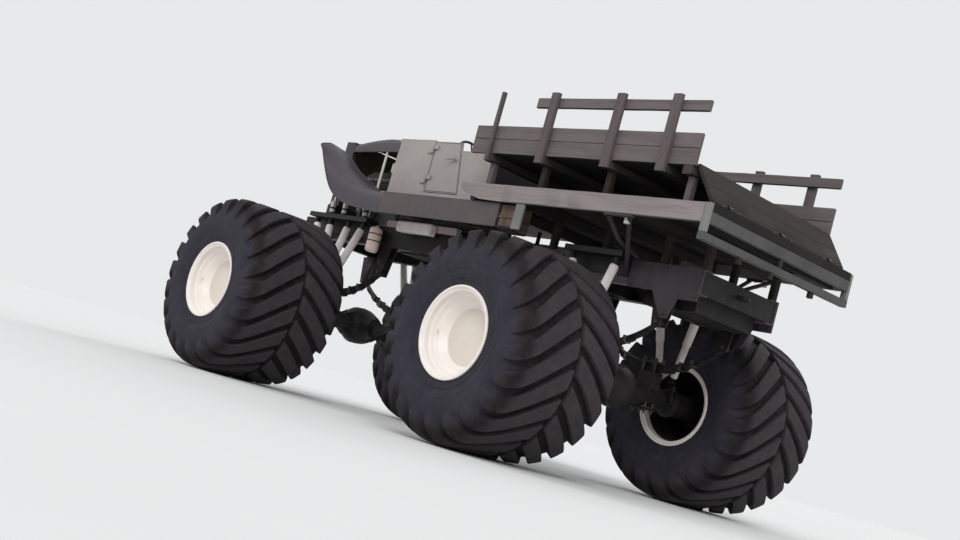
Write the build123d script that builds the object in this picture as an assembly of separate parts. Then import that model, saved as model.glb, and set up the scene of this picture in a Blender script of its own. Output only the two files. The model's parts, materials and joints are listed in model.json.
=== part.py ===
"""A monster truck: an old open-cab stake truck body on a raised frame, leaf springs and huge lugged tyres.

Millimetres. +X forward, +Y to the truck's left, +Z up, the ground at z = 0, the box's centre over the origin.
Heights are above the ground. Lengths along the truck are from the rear axle, and at() adds its place.
"""

import os
from math import cos, radians, sin

from build123d import *

# Running gear
wheelbase = 3568
half_track = 1356
tyre_radius = 838
tyre_width = 1090
lugs_per_side = 22
rim_lip_radius = 365
rim_seat_radius = 320
rim_bore_radius = 306
rim_half_width = 518
rim_sides = 20
rim_disc_out = 340
rim_disc_radius = 256
rim_step = (290, 415)
rim_mouth_radius = 346
rim_disc_wall = 14
rim_lip_wall = 14
seat_gap = 0.3
hub_radius = 185
hub_in = -10
drum_radius = 235
drum_in = -70
spindle_radius = 60
spindle_end = 200
spindle_clearance = 0.05
running_gap = 5

# Axles
axle_tube_radius = 95
diff_radius = 190
diff_length = 230
pinion_length = 190
pinion_radius = 85
kingpin_out = 950
kingpin_radius = 25
knuckle_post_radius = 48
fork_half_height = 140
fork_wall = 40
fork_half_length = 70
fork_in = 760
carrier_radius = 120
arm_ahead = 225
arm_half_width = 34
arm_corner = 20
fork_web_wall = 45
fork_reach = 60
diff_sides = 16
spring_pad = (90, 60)
ear_half = (130, 22)
ear_low = -20
neck_half = (55, 100)
neck_reach = 80
carrier_overlap = 10
eye_half = 28
eye_drop = 24
stud_rise = 12
arm_height = 34
tie_rod_radius = 18
tie_rod_drop = 60
stud_radius = 14
pin_sides = 10

# Frame and drive
rail_out = 450
rail_width = 100
rail_bottom = 1620
rail_top = 1820
rail_wall = 10
rail_rear = -1050
rail_nose = 740
rail_front = wheelbase + rail_nose
end_inset = 50
cross_members = (rail_rear + end_inset, -380, 480, 1300, rail_front - end_inset)
cross_length = 90
cradle_depth = 60
side_plate_wall = 12
side_plate_outline = (
    (rail_rear, rail_top), (-330, rail_top), (-330, 1600), (-600, 1600), (-735, 1395), (-800, 1395),
    (-860, 1560), (rail_rear, 1560),
)
tow_eye_reach = 50
tow_eye_half = 45
tow_eye_wall = 30
tow_hole_radius = 20
case_x = (1480, 1800)
case_z = (1400, 1700)
case_half = 170
hanger_x = (1600, 1690)
hanger_height = 60
gearbox_half = 150
gearbox_top = 1960
gearbox_overlap = 60
shaft_rise = 90
shaft_radius = 36
yoke_half = 45
yoke_length = 90
yoke_overlap = 30
fuel_cell_half = 380
fuel_cell_z = (1500, 1800)

# Engine
engine_x = (3050, 3780)
engine_half = 170
engine_z = (rail_top, 2250)
pan_half = 120
pan_ends = (40, 60)
pan_depth = 130
mount_x = (3420, 3520)
mount_y = (engine_half, rail_out)
mount_height = 40
crank_rise = 110
fan_rise = 340
pulley_shaft_radius = 32
pulley_gap = 12
pulley_width = 28
pulleys = ((crank_rise, 85, 40), (fan_rise, 70, 95))
fan_plane = 82
fan_blades = 6
fan_blade_centre = 110
fan_blade_twist = 30
fan_blade = (8, 70, 170)
head_x = 3420
head_out = 215
head_height = engine_z[1] + 40
head_tilt = 42
head_length = 640
head_width = 190
head_depth = 150
ports = (-240, -80, 80, 240)
port_radius = 24
port_reach = 60
pipe_radius = 34
pipe_inset = 30
pipe_drop = 170
pipe_fall = 140
pipe_end = 1500
pipe_turn = (130, 170)
pipe_hanger_x = (1650, 1680)
pipe_hanger_half = 15
intake_x = (3160, 3680)
intake_rise = (0, 47, 108)
intake_half = (93, 93, 148)
carburettor_x = (3350, 3470)
carburettor_half = 55
cleaner_x = 3410
cleaner_rise = (175, 260)
cleaner_radius = 150
can_x = 3170
can_out = 400
can_low = 2387
can_height = 120
can_radius = 48
can_shelf = 15

# Springs and dampers
spring_half_span = 700
spring_eye_height = 1372
spring_rise = 250
spring_width = 64
hanger_half = (95, 40)
hanger_wall = 14
spring_eye_radius = 30
leaf_thickness = 14
leaf_steps = (1.0, 0.84, 0.66, 0.48, 0.3)
leaf_flats = 5
shock_body_radius = 38
shock_rod_radius = 30
shock_body_share = 0.5
shock_sides = 6
shock_top_out = 600
shock_foot_out = 660
shock_top_height = 1810
shock_foot_height = 984
shock_shelf_wall = 45
shock_shelf_out = 650
shock_shelf_end = 70
shock_lip_wall = 14
shock_lip_height = 130
rear_shocks = ((-250, -70), (250, 70))
front_shocks = ((-420, -105), (-170, -35), (150, 35), (390, 105))

# Deck and rack
deck_half_width = 1000
deck_rear = -1350
deck_front = 1420
deck_top = 2220
deck_thickness = 60
sill_bottom = 2070
sill_front = 850
sill_thickness = 36
bearer_height = 90
bearer_width = 60
bearers = (-1180, -600, 40, 650, 1250)
post_half = 30
brace_radius = 18
brace_pad_x = (-420, -335)
brace_pad_wall = 16
brace_bracket_x = (-640, -340)
brace_bracket_wall = 20
brace_routes = (
    ((-375, 974, 2062), (-372, 800, 1918), (-350, 465, 1830)),
    ((-590, 974, 2062), (-262, 480, 1705)),
)
rack_bottom = 2430
rack_beam_height = 70
rack_beam_half = 45
rack_leg_y = (830, 890)
rack_floor_thickness = 25
rack_floor_rear = -1055
side_board = (rack_bottom + rack_beam_height, 2752)
side_board_x = (-1066, 1450)
top_rail = (2922, 3012)
top_rail_x = (-1066, 780)
stake_x = (-766, -190, 550)
stake_top = 3045
stake_width = 90
stake_depth = 45
board_thickness = 32
front_post_x = 1200
front_post_width = 40
front_post_top = 3050
rack_beam_x = (-1010, -766, -190, 550, front_post_x)
rack_leg_x = (-1010, -190, 550, front_post_x)

# Tail
tail_board_thickness = 30
tail_rail_drop = 100
tail_rail_size = 60
tail_beam_width = 50
tail_web_half = 20
tail_iron_y = (500, 80, -500)
tail_iron_half = 20
tail_iron_height = 50
tail_hinge_rise = 22
tail_top = (-1070, 2520)
tail_foot = (-1280, deck_top + tail_hinge_rise)
tail_pin_radius = 10
tail_lugs = (-700, 0, 700)
tail_lug_width = 44
tail_lug_half = 26
tail_lug_rise = 24
tail_notch = 90
tail_clearance = 6

# Cab
cab_out = 600
cab_wall = 25
cab_floor = 2120
cab_floor_wall = 30
cowl_front = 2950
cowl_rear = 2460
cowl_top = 2700
cowl_step = (40, 60)
quarter_rear = 1480
quarter_front = 1890
quarter_lean = 110
quarter_top = 2610
door_gap = 8
door_low = 2190
door_foot_gap = 10
door_top_gap = 10
door_lean = 25
cushion_x = (1560, 2020)
seat_half = 540
seat_rise = 180
backrest_x = (1510, 1560, 1640)
backrest_rise = 310
door_hinges = (2310, 2610)
hinge_setback = 50
hinge_offset = 15
hinge_radius = 12
hinge_pin_radius = 6
hinge_pin_short = 4
hinge_height = 40
hinge_strap = 70
hinge_strap_near = 20
hinge_strap_wall = 9
column_radius = 20
column_out = 300
column_top = (2200, 2620)
column_foot = (2880, 2240)
steering_radii = (195, 170)
steering_sides = 16
steering_depth = 22
spoke_width = 24
spoke_depth = 12
firewall_wall = 20

# Hood, radiator and lamps
hood_wall = 12
hood_front = 4000
# From the cab forward: place, half width, height of the side's lower edge, of the shoulder and of the crown
hood_rows = (
    (cowl_front, cab_out, 2565, cowl_top, 2706),
    (3300, 522, 2580, 2722, 2744),
    (hood_front, 380, 2600, 2688, 2716),
)
hood_fold = 120
hood_post_x = wheelbase - 368
hood_post_radius = 10
radiator_front = 4150
radiator_half_width = 320
radiator_frame = 60
radiator_frame_top = 80
radiator_bottom = 2000
radiator_top = 2700
core_inset = (40, 50)
lamp_radius = 95
lamp_x = (3890, 4000)
lamp_out = 465
lamp_height = 2330
lamp_post_radius = 18
grille_bars = 9
grille_bar_width = 12
grille_bar_depth = (30, 20)

# Fenders, running boards and side bars
fender_set_in = 50
fender_out = deck_half_width - fender_set_in
fender_crown = fender_out - 170
fender_lap = 50
fender_in = cab_out - fender_lap
fender_wall = 10
apron_x = (900, 2540)
apron_gap = 40
apron_in = cab_out + apron_gap
apron_top = 2070
apron_bottom = 1800
apron_wall = 16
# From the running board forward: place at the outer and at the inner edge, and the heights of the outer
# lower edge, of the shoulder above it, of the crown and of the inner edge
fender_rows = (
    (apron_x[1] + seat_gap, apron_x[1] + seat_gap, apron_bottom, apron_top, apron_top, apron_top),
    (2880, 2960, 1853, 2092, 2112, 2100),
    (3090, 3170, 1885, 2135, 2185, 2178),
    (3290, 3390, 1980, 2205, 2262, 2272),
    (3450, 3570, 2092, 2282, 2345, 2352),
    (3600, 3760, 2272, 2385, 2448, 2470),
    (3710, 3910, 2430, 2468, 2532, 2540),
    (3765, 3985, 2488, 2500, 2556, 2562),
)
fender_stay_x = (wheelbase - 283, wheelbase - 253)
fender_stay_y = (cab_out - 25, cab_out)
side_bar_x = (2120, 2630)
side_bar_out = 575
side_bar_height = 1809
side_bar_half = (45, 55)
side_bar_arms = (2200, 2545)
side_bar_arm = (30, 30, 11)

rear_x = (-deck_rear - wheelbase - tyre_radius) / 2
shock_shelf_top = shock_top_height + shock_shelf_wall
pitch = 360 / lugs_per_side


def at(x):
    """A place along the truck, measured from the rear axle."""
    return rear_x + x


def between(span):
    """Two places along the truck, as the model's X."""
    return at(span[0]), at(span[1])


def box(x, y, z):
    """A block between two corners, each axis given as its low and high value."""
    size = [high - low for low, high in (x, y, z)]
    centre = [(high + low) / 2 for low, high in (x, y, z)]
    return Pos(*centre) * Box(*size)


def side_slab(outline, y_low, y_high):
    """An outline in X and Z carried sideways from one Y to another."""
    face = make_face(Polyline(*outline, close=True))
    return extrude(Plane.XZ.offset(-y_low) * face, -(y_high - y_low))


def rod(start, end, radius, sides=pin_sides):
    """A round bar from point to point, in flats."""
    run = Vector(*end) - Vector(*start)
    return extrude(Plane(origin=start, z_dir=run) * RegularPolygon(radius, sides), run.length)


def turned(profile, sides):
    """A body turned about Y in flats, its profile given as radius and place from axis to axis."""
    angles = [360 * side / sides for side in range(sides)]
    rings = []
    for r, out in profile[1:-1]:
        rings.append([(r * cos(radians(angle)), out, r * sin(radians(angle))) for angle in angles])
    faces = [Face(Wire.make_polygon(rings[0])), Face(Wire.make_polygon(rings[-1]))]
    for near, far in zip(rings, rings[1:]):
        for i in range(sides):
            j = (i + 1) % sides
            faces.append(Face(Wire.make_polygon([near[i], near[j], far[j], far[i]])))
    return Solid(Shell(faces))


def skinned(sections):
    """A body with flat ends whose sides are triangles between sections of as many points."""
    faces = [Face(Wire.make_polygon(sections[0])), Face(Wire.make_polygon(sections[-1]))]
    count = len(sections[0])
    for near, far in zip(sections, sections[1:]):
        for i in range(count):
            j = (i + 1) % count
            for points in ((near[i], near[j], far[j]), (near[i], far[j], far[i])):
                faces.append(Face(Wire.make_polygon(points)))
    return Solid(Shell(faces))


def pin_bore(radius):
    """The corner radius of a hole in flats that a pin in flats turns in."""
    return (radius + spindle_clearance) / cos(radians(180 / pin_sides))


def both_sides(piece):
    """The left piece and its mirror image on the right."""
    return [piece, mirror(piece, Plane.XZ)]


def fused(pieces):
    """One body out of pieces that meet."""
    first, *rest = pieces
    return first.fuse(*rest).clean() if rest else first


def write(name, *pieces):
    """One file for one named piece of the truck, of one or more solids."""
    solids = [solid for piece in pieces for solid in piece.solids()]
    export_step(Compound(children=solids, label=name), f"parts/{name}.step")


# Tyre

# Along a lug from the middle of the tread to the shoulder:
# base out, base radius, tip out, tip radius, lag in degrees, half width at the base and at the tip in degrees
tip_radius = tyre_radius / cos(radians(pitch / 8))
lug_stations = (
    (18, 790, 18, tip_radius, 0, 5.0, pitch / 8),
    (400, 772, 424, 822, 22, 4.6, pitch / 8),
    (512, 672, tyre_width / 2, 690, 29, 4.2, 3.0),
)
# Down the sidewall to the bead: out, radius
sidewall = ((tyre_width / 2, 610), (530, 490))
bead_out = rim_half_width - rim_lip_wall - seat_gap


def on_wheel(out, radius, angle):
    """A point of a wheel at its own centre, the angle measured from the rear over the top."""
    return (-radius * cos(radians(angle)), out, radius * sin(radians(angle)))


def strip(ring_a, ring_b):
    """Triangles between two closed rings, each a list of angle and point in the order of the angles."""
    triangles = []
    i = j = 0
    while i < len(ring_a) or j < len(ring_b):
        angle_a, point_a = ring_a[i % len(ring_a)]
        angle_b, point_b = ring_b[j % len(ring_b)]
        next_a, after_a = ring_a[(i + 1) % len(ring_a)]
        next_b, after_b = ring_b[(j + 1) % len(ring_b)]
        turn_a = next_a + 360 * ((i + 1) // len(ring_a))
        turn_b = next_b + 360 * ((j + 1) // len(ring_b))
        if j >= len(ring_b) or (i < len(ring_a) and turn_a <= turn_b):
            triangles.append((point_a, after_a, point_b))
            i += 1
        else:
            triangles.append((point_a, after_b, point_b))
            j += 1
    return triangles


def tyre_half(side):
    """Half a tyre's triangles, +Y side for 1 and -Y side for -1, with its middle ring and its bead ring."""
    start = -90 if side > 0 else -90 - pitch / 2
    bead_radius = (rim_seat_radius + seat_gap) / cos(radians(pitch / 2))
    triangles, middle, shoulder = [], [], []
    for turn in range(lugs_per_side):
        here = start + turn * pitch
        rows = []
        for base_out, base_radius, tip_out, tip_r, lag, base_half, tip_half in lug_stations:
            centre = here - lag
            rows.append((
                on_wheel(side * base_out, base_radius, centre - base_half),
                on_wheel(side * tip_out, tip_r, centre - tip_half),
                on_wheel(side * tip_out, tip_r, centre + tip_half),
                on_wheel(side * base_out, base_radius, centre + base_half),
                on_wheel(side * base_out, base_radius, centre + pitch - base_half),
            ))
        for near, far in zip(rows, rows[1:]):
            for i in range(4):
                triangles += [(near[i], near[i + 1], far[i + 1]), (near[i], far[i + 1], far[i])]
        for row in (rows[0], rows[-1]):
            triangles += [(row[0], row[1], row[2]), (row[0], row[2], row[3])]
        for ring, row, lag, half in ((middle, rows[0], 0, lug_stations[0][5]),
                                     (shoulder, rows[-1], lug_stations[-1][4], lug_stations[-1][5])):
            ring += [(here - lag - half, row[0]), (here - lag + half, row[3])]
    lag = lug_stations[-1][4]
    rings = [shoulder]
    for out, radius in (*sidewall, (bead_out, bead_radius)):
        angles = [start - lag + turn * pitch for turn in range(lugs_per_side)]
        rings.append([(angle, on_wheel(side * out, radius, angle)) for angle in angles])
    for near, far in zip(rings, rings[1:]):
        triangles += strip(near, far)
    return triangles, middle, rings[-1]


def make_tyre():
    """A flotation tyre with chevron lugs whose two rows are half a pitch apart."""
    left, left_middle, left_bead = tyre_half(1)
    right, right_middle, right_bead = tyre_half(-1)
    triangles = left + right + strip(left_middle, right_middle) + strip(left_bead, right_bead)
    faces = [Face(Wire.make_polygon(points)) for points in triangles]
    return Solid(Shell(faces))


def make_wheel():
    """A wide rim with a stepped dish and a blank disc, and behind it a bored hub and drum."""
    lip, flange = rim_half_width, rim_half_width - rim_lip_wall
    bore = (spindle_radius + spindle_clearance) / cos(radians(180 / rim_sides))
    bore_end = spindle_end + running_gap
    disc_in = rim_disc_out - rim_disc_wall
    profile = (
        (0, rim_disc_out), (rim_disc_radius, rim_disc_out), rim_step, (rim_mouth_radius, lip),
        (rim_lip_radius, lip), (rim_seat_radius, flange), (rim_seat_radius, -flange), (rim_lip_radius, -lip),
        (rim_bore_radius, -lip), (rim_bore_radius, disc_in), (hub_radius, disc_in), (hub_radius, hub_in),
        (drum_radius, drum_in), (bore, drum_in), (bore, bore_end), (0, bore_end),
    )
    return turned(profile, rim_sides)


def spindle(start_out):
    """The carrier and spindle of a left wheel, from start_out to inside the hub, across the truck."""
    carrier_end = half_track + drum_in - running_gap
    carrier = rod((0, start_out, 0), (0, carrier_end, 0), carrier_radius)
    return carrier + rod((0, carrier_end, 0), (0, half_track + spindle_end, 0), spindle_radius)


def make_wheels():
    tyre, wheel = make_tyre(), make_wheel()
    for end, x in (("front", wheelbase), ("rear", 0)):
        for side, turn in (("left", 1), ("right", -1)):
            place = Pos(at(x), turn * half_track, tyre_radius)
            facing = place if turn > 0 else place * Rot(0, 0, 180)
            write(f"tyre_{end}_{side}", place * tyre)
            write(f"wheel_{end}_{side}", facing * wheel)


# Axles and steering

def axle_middle(towards):
    """The tube, the round gear housing and the pinion nose that points along X as towards says, 1 or -1."""
    tube = rod((0, -fork_in, 0), (0, fork_in, 0), axle_tube_radius)
    gears = rod((-diff_length / 2, 0, 0), (diff_length / 2, 0, 0), diff_radius, diff_sides)
    nose_end = towards * (diff_length / 2 + pinion_length)
    nose = rod((0, 0, 0), (nose_end, 0, 0), pinion_radius, 8)
    pads, ears = [], []
    for place, half, span, outs in ((pads, spring_pad, (0, spring_pad_top), (-rail_out, rail_out)),
                                    (ears, ear_half, (ear_low, ear_top), (-shock_foot_out, shock_foot_out))):
        for y in outs:
            place.append(box((-half[0], half[0]), (y - half[1], y + half[1]), span))
    return fused([tube, gears, nose, *pads, *ears])


spring_foot = spring_eye_height - spring_rise - leaf_thickness * len(leaf_steps)
spring_pad_top = spring_foot - tyre_radius - seat_gap
ear_top = shock_foot_height - tyre_radius


def make_axles():
    centre_front = Pos(at(wheelbase), 0, tyre_radius)
    fork_low, fork_high = fork_half_height, fork_half_height + fork_wall
    fork_x = (-fork_half_length, fork_half_length)
    fork_web = box(fork_x, (fork_in, fork_in + fork_web_wall), (-fork_high, fork_high))
    fork_arms = [box(fork_x, (fork_in, kingpin_out + fork_reach), (low, high))
                 for low, high in ((fork_low, fork_high), (-fork_high, -fork_low))]
    bore = rod((0, kingpin_out, -2 * fork_high), (0, kingpin_out, 2 * fork_high), pin_bore(kingpin_radius))
    fork = fused([fork_web, *fork_arms]) - bore
    write("axle_front", centre_front * fused([axle_middle(-1), *both_sides(fork)]))

    post_end = fork_low - seat_gap
    post = rod((0, kingpin_out, -post_end), (0, kingpin_out, post_end), knuckle_post_radius)
    pin = rod((0, kingpin_out, -fork_high), (0, kingpin_out, fork_high), kingpin_radius)
    neck_x, neck_z = [(-half, half) for half in neck_half]
    neck = box(neck_x, (kingpin_out, kingpin_out + neck_reach), neck_z)
    arm_half = arm_height / 2
    near, tip = kingpin_out - arm_half_width, kingpin_out + arm_half_width
    stud_bore = pin_bore(stud_radius)
    arm_end = arm_ahead + arm_half_width
    arm_outline = (
        (0, near), (arm_end - arm_corner, near), (arm_end, kingpin_out), (arm_end - arm_corner, tip), (0, tip),
    )
    arm = Pos(0, 0, -arm_half) * extrude(make_face(Polyline(*arm_outline, close=True)), arm_height)
    arm_bore = rod((arm_ahead, kingpin_out, -arm_height), (arm_ahead, kingpin_out, arm_height), stud_bore)
    knuckle = fused([post, pin, neck, spindle(kingpin_out + neck_reach - carrier_overlap), arm]) - arm_bore
    for name, piece in zip(("knuckle_left", "knuckle_right"), both_sides(knuckle)):
        write(name, centre_front * piece)

    rod_z = -tie_rod_drop
    eye_top = -arm_half - seat_gap
    eye_x, eye_y = [(place - eye_half, place + eye_half) for place in (arm_ahead, kingpin_out)]
    eye = box(eye_x, eye_y, (rod_z - eye_drop, eye_top))
    stud = rod((arm_ahead, kingpin_out, eye_top), (arm_ahead, kingpin_out, arm_half + stud_rise), stud_radius)
    span = rod((arm_ahead, -kingpin_out, rod_z), (arm_ahead, kingpin_out, rod_z), tie_rod_radius)
    write("tie_rod", centre_front * fused([span, *both_sides(fused([eye, stud]))]))

    rear_end = spindle(fork_in - carrier_overlap)
    write("axle_rear", Pos(at(0), 0, tyre_radius) * fused([axle_middle(1), *both_sides(rear_end)]))


# Springs, hangers and dampers

def leaf_pack():
    """A stepped pack of leaves seen from the side, hung by its ends and lowest at its middle."""
    half, rise = spring_half_span, spring_rise
    bend_radius = (half ** 2 + rise ** 2) / (2 * rise)
    centre_z = bend_radius - rise

    def point(share, depth):
        swing = share * spring_swing
        r = bend_radius + depth
        return (r * sin(radians(swing)), centre_z - r * cos(radians(swing)))

    top = [point(n / leaf_flats, 0) for n in range(-leaf_flats, leaf_flats + 1)]
    under = []
    for i, share in enumerate(leaf_steps):
        under += [(share, i), (share, i + 1)]
    steps = [point(share, leaf_thickness * layer) for share, layer in under[1:]]
    mirrored = [(-x, z) for x, z in reversed(steps)]
    side = spring_width / 2
    end = Plane.XZ.offset(-side) * make_face(Polyline(*top, *steps, *mirrored, close=True))
    pack = extrude(end, spring_width)
    eye_z = -leaf_thickness / 2
    eyes = [rod((x, -side, eye_z), (x, side, eye_z), spring_eye_radius, 8) for x in (-half, half)]
    return fused([pack, *eyes])


spring_swing = 2 * Vector(spring_half_span, 0).get_angle(Vector(spring_half_span, spring_rise))


def make_springs():
    hanger_top = rail_bottom
    side = spring_width / 2
    springs, hangers = [], []
    for x in (wheelbase, 0):
        springs += both_sides(Pos(at(x), rail_out, spring_eye_height) * leaf_pack())
        for turn in (-1, 1):
            foot_x = at(x) + turn * spring_half_span
            wide, narrow = hanger_half
            low = spring_eye_height - narrow
            outline = (
                (foot_x - wide, hanger_top), (foot_x + wide, hanger_top),
                (foot_x + narrow, low), (foot_x - narrow, low),
            )
            for out in (rail_out - side - seat_gap - hanger_wall, rail_out + side + seat_gap):
                hangers += both_sides(side_slab(outline, out, out + hanger_wall))
    write("leaf_springs", *springs)
    write("spring_hangers", *hangers)


def shock(top, foot):
    """A damper between two level faces: a wide sleeve at the top over a tube that stands on the axle."""
    top, foot = Vector(*top), Vector(*foot)
    lean = (top - foot).normalized()
    slope = (1 - lean.Z ** 2) ** 0.5
    top -= lean * ((seat_gap + slope * shock_body_radius) / lean.Z)
    foot += lean * ((seat_gap + slope * shock_rod_radius) / lean.Z)
    neck = top + (foot - top) * shock_body_share
    return rod(top, neck, shock_body_radius, shock_sides) + rod(neck, foot, shock_rod_radius, shock_sides)


def make_shocks():
    dampers, beams = [], []
    for x, table in ((wheelbase, front_shocks), (0, rear_shocks)):
        for top_x, foot_x in table:
            top = (at(x) + top_x, shock_top_out, shock_top_height)
            foot = (at(x) + foot_x, shock_foot_out, shock_foot_height)
            dampers += both_sides(shock(top, foot))
        reach = max(abs(top_x) for top_x, _ in table) + shock_shelf_end
        span, face = (at(x) - reach, at(x) + reach), rail_out + rail_width / 2
        shelf = box(span, (face, shock_shelf_out), (shock_top_height, shock_shelf_top))
        lip_y = (face, face + shock_lip_wall)
        lip = box(span, lip_y, (shock_top_height - shock_lip_height, shock_top_height))
        beams += both_sides(shelf + lip)
    write("dampers", *dampers)
    write("damper_mounts", *beams)


# Frame and drive

def tow_eye(face, towards):
    """A thick plate with a round hole, standing out of an end member along X."""
    centre_x = face + towards * tow_eye_reach
    low, high = sorted((face, centre_x))
    mid = (rail_bottom + rail_top) / 2
    plate = box((low, high), (-tow_eye_half, tow_eye_half), (mid - tow_eye_wall / 2, mid + tow_eye_wall / 2))
    nose = rod((centre_x, 0, mid - tow_eye_wall / 2), (centre_x, 0, mid + tow_eye_wall / 2), tow_eye_half)
    return plate + nose - Pos(centre_x, 0, mid) * Cylinder(tow_hole_radius, 2 * tow_eye_wall)


def make_frame():
    low, high = rail_out - rail_width / 2, rail_out + rail_width / 2
    span = (at(rail_rear), at(rail_front))
    rail = box(span, (low, high), (rail_bottom, rail_top))
    web_in = high - rail_wall
    inside_z = (rail_bottom + rail_wall, rail_top - rail_wall)
    pocket = box((span[0] - 1, span[1] + 1), (low - 1, web_in), inside_z)
    write("frame_rails", *both_sides(rail - pocket))
    members = []
    for x in cross_members:
        place = (at(x) - cross_length / 2, at(x) + cross_length / 2)
        members.append(box(place, (-web_in, web_in), inside_z))
    cradle_x = (at(hood_front), at(radiator_front))
    cradle = box(cradle_x, (-low, low), (rail_top - cradle_depth, radiator_bottom))
    members[0] += tow_eye(at(cross_members[0]) - cross_length / 2, -1)
    members[-1] += tow_eye(at(cross_members[-1]) + cross_length / 2, 1)
    write("cross_members", *members, cradle)
    plate = side_slab([(at(x), z) for x, z in side_plate_outline], high, high + side_plate_wall)
    write("side_plates", *both_sides(plate))


def make_drive():
    low, high = case_z
    case = box(between(case_x), (-case_half, case_half), case_z)
    hanger_half = rail_out - rail_width / 2
    hanger = box(between(hanger_x), (-hanger_half, hanger_half), (high, high + hanger_height))
    gearbox_x = (at(case_x[1]) - gearbox_overlap, at(engine_x[0]))
    gearbox = box(gearbox_x, (-gearbox_half, gearbox_half), (high - gearbox_overlap, gearbox_top))
    write("transmission", fused([case, hanger, gearbox]))
    flange_z = low + shaft_rise
    nose = diff_length / 2 + pinion_length + seat_gap
    shafts = []
    rear_ends = (nose, case_x[0] - seat_gap, 1)
    front_ends = (wheelbase - nose, case_x[1] + seat_gap, -1)
    for axle_end, case_end, towards in (rear_ends, front_ends):
        yokes = []
        for x, z, way in ((axle_end, tyre_radius, towards), (case_end, flange_z, -towards)):
            ends = sorted((at(x), at(x + way * yoke_length)))
            yokes.append(box(ends, (-yoke_half, yoke_half), (z - yoke_half, z + yoke_half)))
        inset = towards * (yoke_length - yoke_overlap)
        tube = rod((at(axle_end + inset), 0, tyre_radius), (at(case_end - inset), 0, flange_z), shaft_radius)
        shafts.append(fused([tube, *yokes]))
    write("driveshafts", *shafts)
    cell_x = (at(cross_members[0]) + cross_length / 2, at(cross_members[1]) - cross_length / 2)
    write("fuel_cell", box(cell_x, (-fuel_cell_half, fuel_cell_half), fuel_cell_z))


# Engine

def make_engine():
    low_x, high_x = at(engine_x[0]), at(engine_x[1])
    low_z = engine_z[0]
    block = box((low_x, high_x), (-engine_half, engine_half), engine_z)
    pan = box((low_x + pan_ends[0], high_x - pan_ends[1]), (-pan_half, pan_half), (low_z - pan_depth, low_z))
    mount = box(between(mount_x), mount_y, (rail_top, rail_top + mount_height))
    turning = []
    for rise, radius, reach in pulleys:
        start, z = high_x + pulley_gap, low_z + rise
        turning.append(rod((high_x, 0, z), (high_x + reach, 0, z), pulley_shaft_radius, 6))
        turning.append(rod((start, 0, z), (start + pulley_width, 0, z), radius))
    hub = Pos(high_x + fan_plane, 0, low_z + fan_rise)
    blade = Pos(0, 0, fan_blade_centre) * Rot(0, 0, fan_blade_twist) * Box(*fan_blade)
    for n in range(fan_blades):
        turning.append(hub * Rot(n * 360 / fan_blades, 0, 0) * blade)
    write("engine_block", fused([block, pan, *both_sides(mount), *turning]))

    heads, exhausts = [], []
    pipe_z = cab_floor - pipe_drop
    for side in (1, -1):
        place = Pos(at(head_x), side * head_out, head_height) * Rot(-side * head_tilt, 0, 0)
        heads.append(place * Box(head_length, head_width, head_depth) - block)
        port, log = [place * Pos(0, side * (head_width / 2 + reach), 0) for reach in (0, port_reach)]
        near = port.position.Y, port.position.Z
        far = log.position.Y, log.position.Z
        pieces = [rod((at(head_x) + x, *near), (at(head_x) + x, *far), port_radius, 6) for x in ports]
        rear, front = [at(head_x) + end * (head_length / 2 - pipe_inset) for end in (-1, 1)]
        pieces.append(rod((rear, *far), (front, *far), pipe_radius, 8))
        out = far[0]
        route = [(rear + pipe_inset, *far), (rear - pipe_fall, out, pipe_z), (at(pipe_end), out, pipe_z),
                 (at(pipe_end) - pipe_turn[0], out + side * pipe_turn[1], pipe_z)]
        pieces += [rod(start, end, pipe_radius, 8) for start, end in zip(route, route[1:])]
        hanger_y = (out - pipe_hanger_half, out + pipe_hanger_half)
        pieces.append(box(between(pipe_hanger_x), hanger_y, (pipe_z, cab_floor)))
        exhausts.append(fused(pieces))
    above = engine_z[1]
    valley = [(half, above + rise) for half, rise in zip(intake_half, intake_rise)]
    outline = [(-half, z) for half, z in valley] + valley[::-1]
    intake_end = Plane.YZ.offset(at(intake_x[0])) * make_face(Polyline(*outline, close=True))
    intake = extrude(intake_end, intake_x[1] - intake_x[0])
    carburettor_y = (-carburettor_half, carburettor_half)
    cleaner_low, cleaner_high = [above + rise for rise in cleaner_rise]
    carburettor = box(between(carburettor_x), carburettor_y, (above + intake_rise[-1], cleaner_low))
    cleaner = rod((at(cleaner_x), 0, cleaner_low), (at(cleaner_x), 0, cleaner_high), cleaner_radius, 16)
    write("engine_heads", *heads, fused([intake, carburettor, cleaner]))
    write("exhausts", *exhausts)
    shelf_y = (can_out - can_shelf, can_out + can_shelf)
    shelf = box((at(cowl_front), at(can_x)), shelf_y, (can_low - can_shelf, can_low))
    can = rod((at(can_x), can_out, can_low), (at(can_x), can_out, can_low + can_height), can_radius)
    write("hood_posts", *both_sides(hood_post()), fused([shelf, can]))


def hood_post():
    """A post on the left damper shelf that the hood's lower edge rests on."""
    for (rear, half_rear, low_rear, *_), (front, half_front, low_front, *_) in zip(hood_rows, hood_rows[1:]):
        if rear <= hood_post_x <= front:
            share = (hood_post_x - rear) / (front - rear)
            out = half_rear + share * (half_front - half_rear) - hood_wall / 2
            slope = (low_front - low_rear) / (front - rear)
            top = low_rear + slope * (hood_post_x - rear - hood_post_radius)
    foot = (at(hood_post_x), out, shock_shelf_top + seat_gap)
    return rod(foot, (at(hood_post_x), out, top - seat_gap), hood_post_radius, 8)


# Deck, rack and tail

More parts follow.
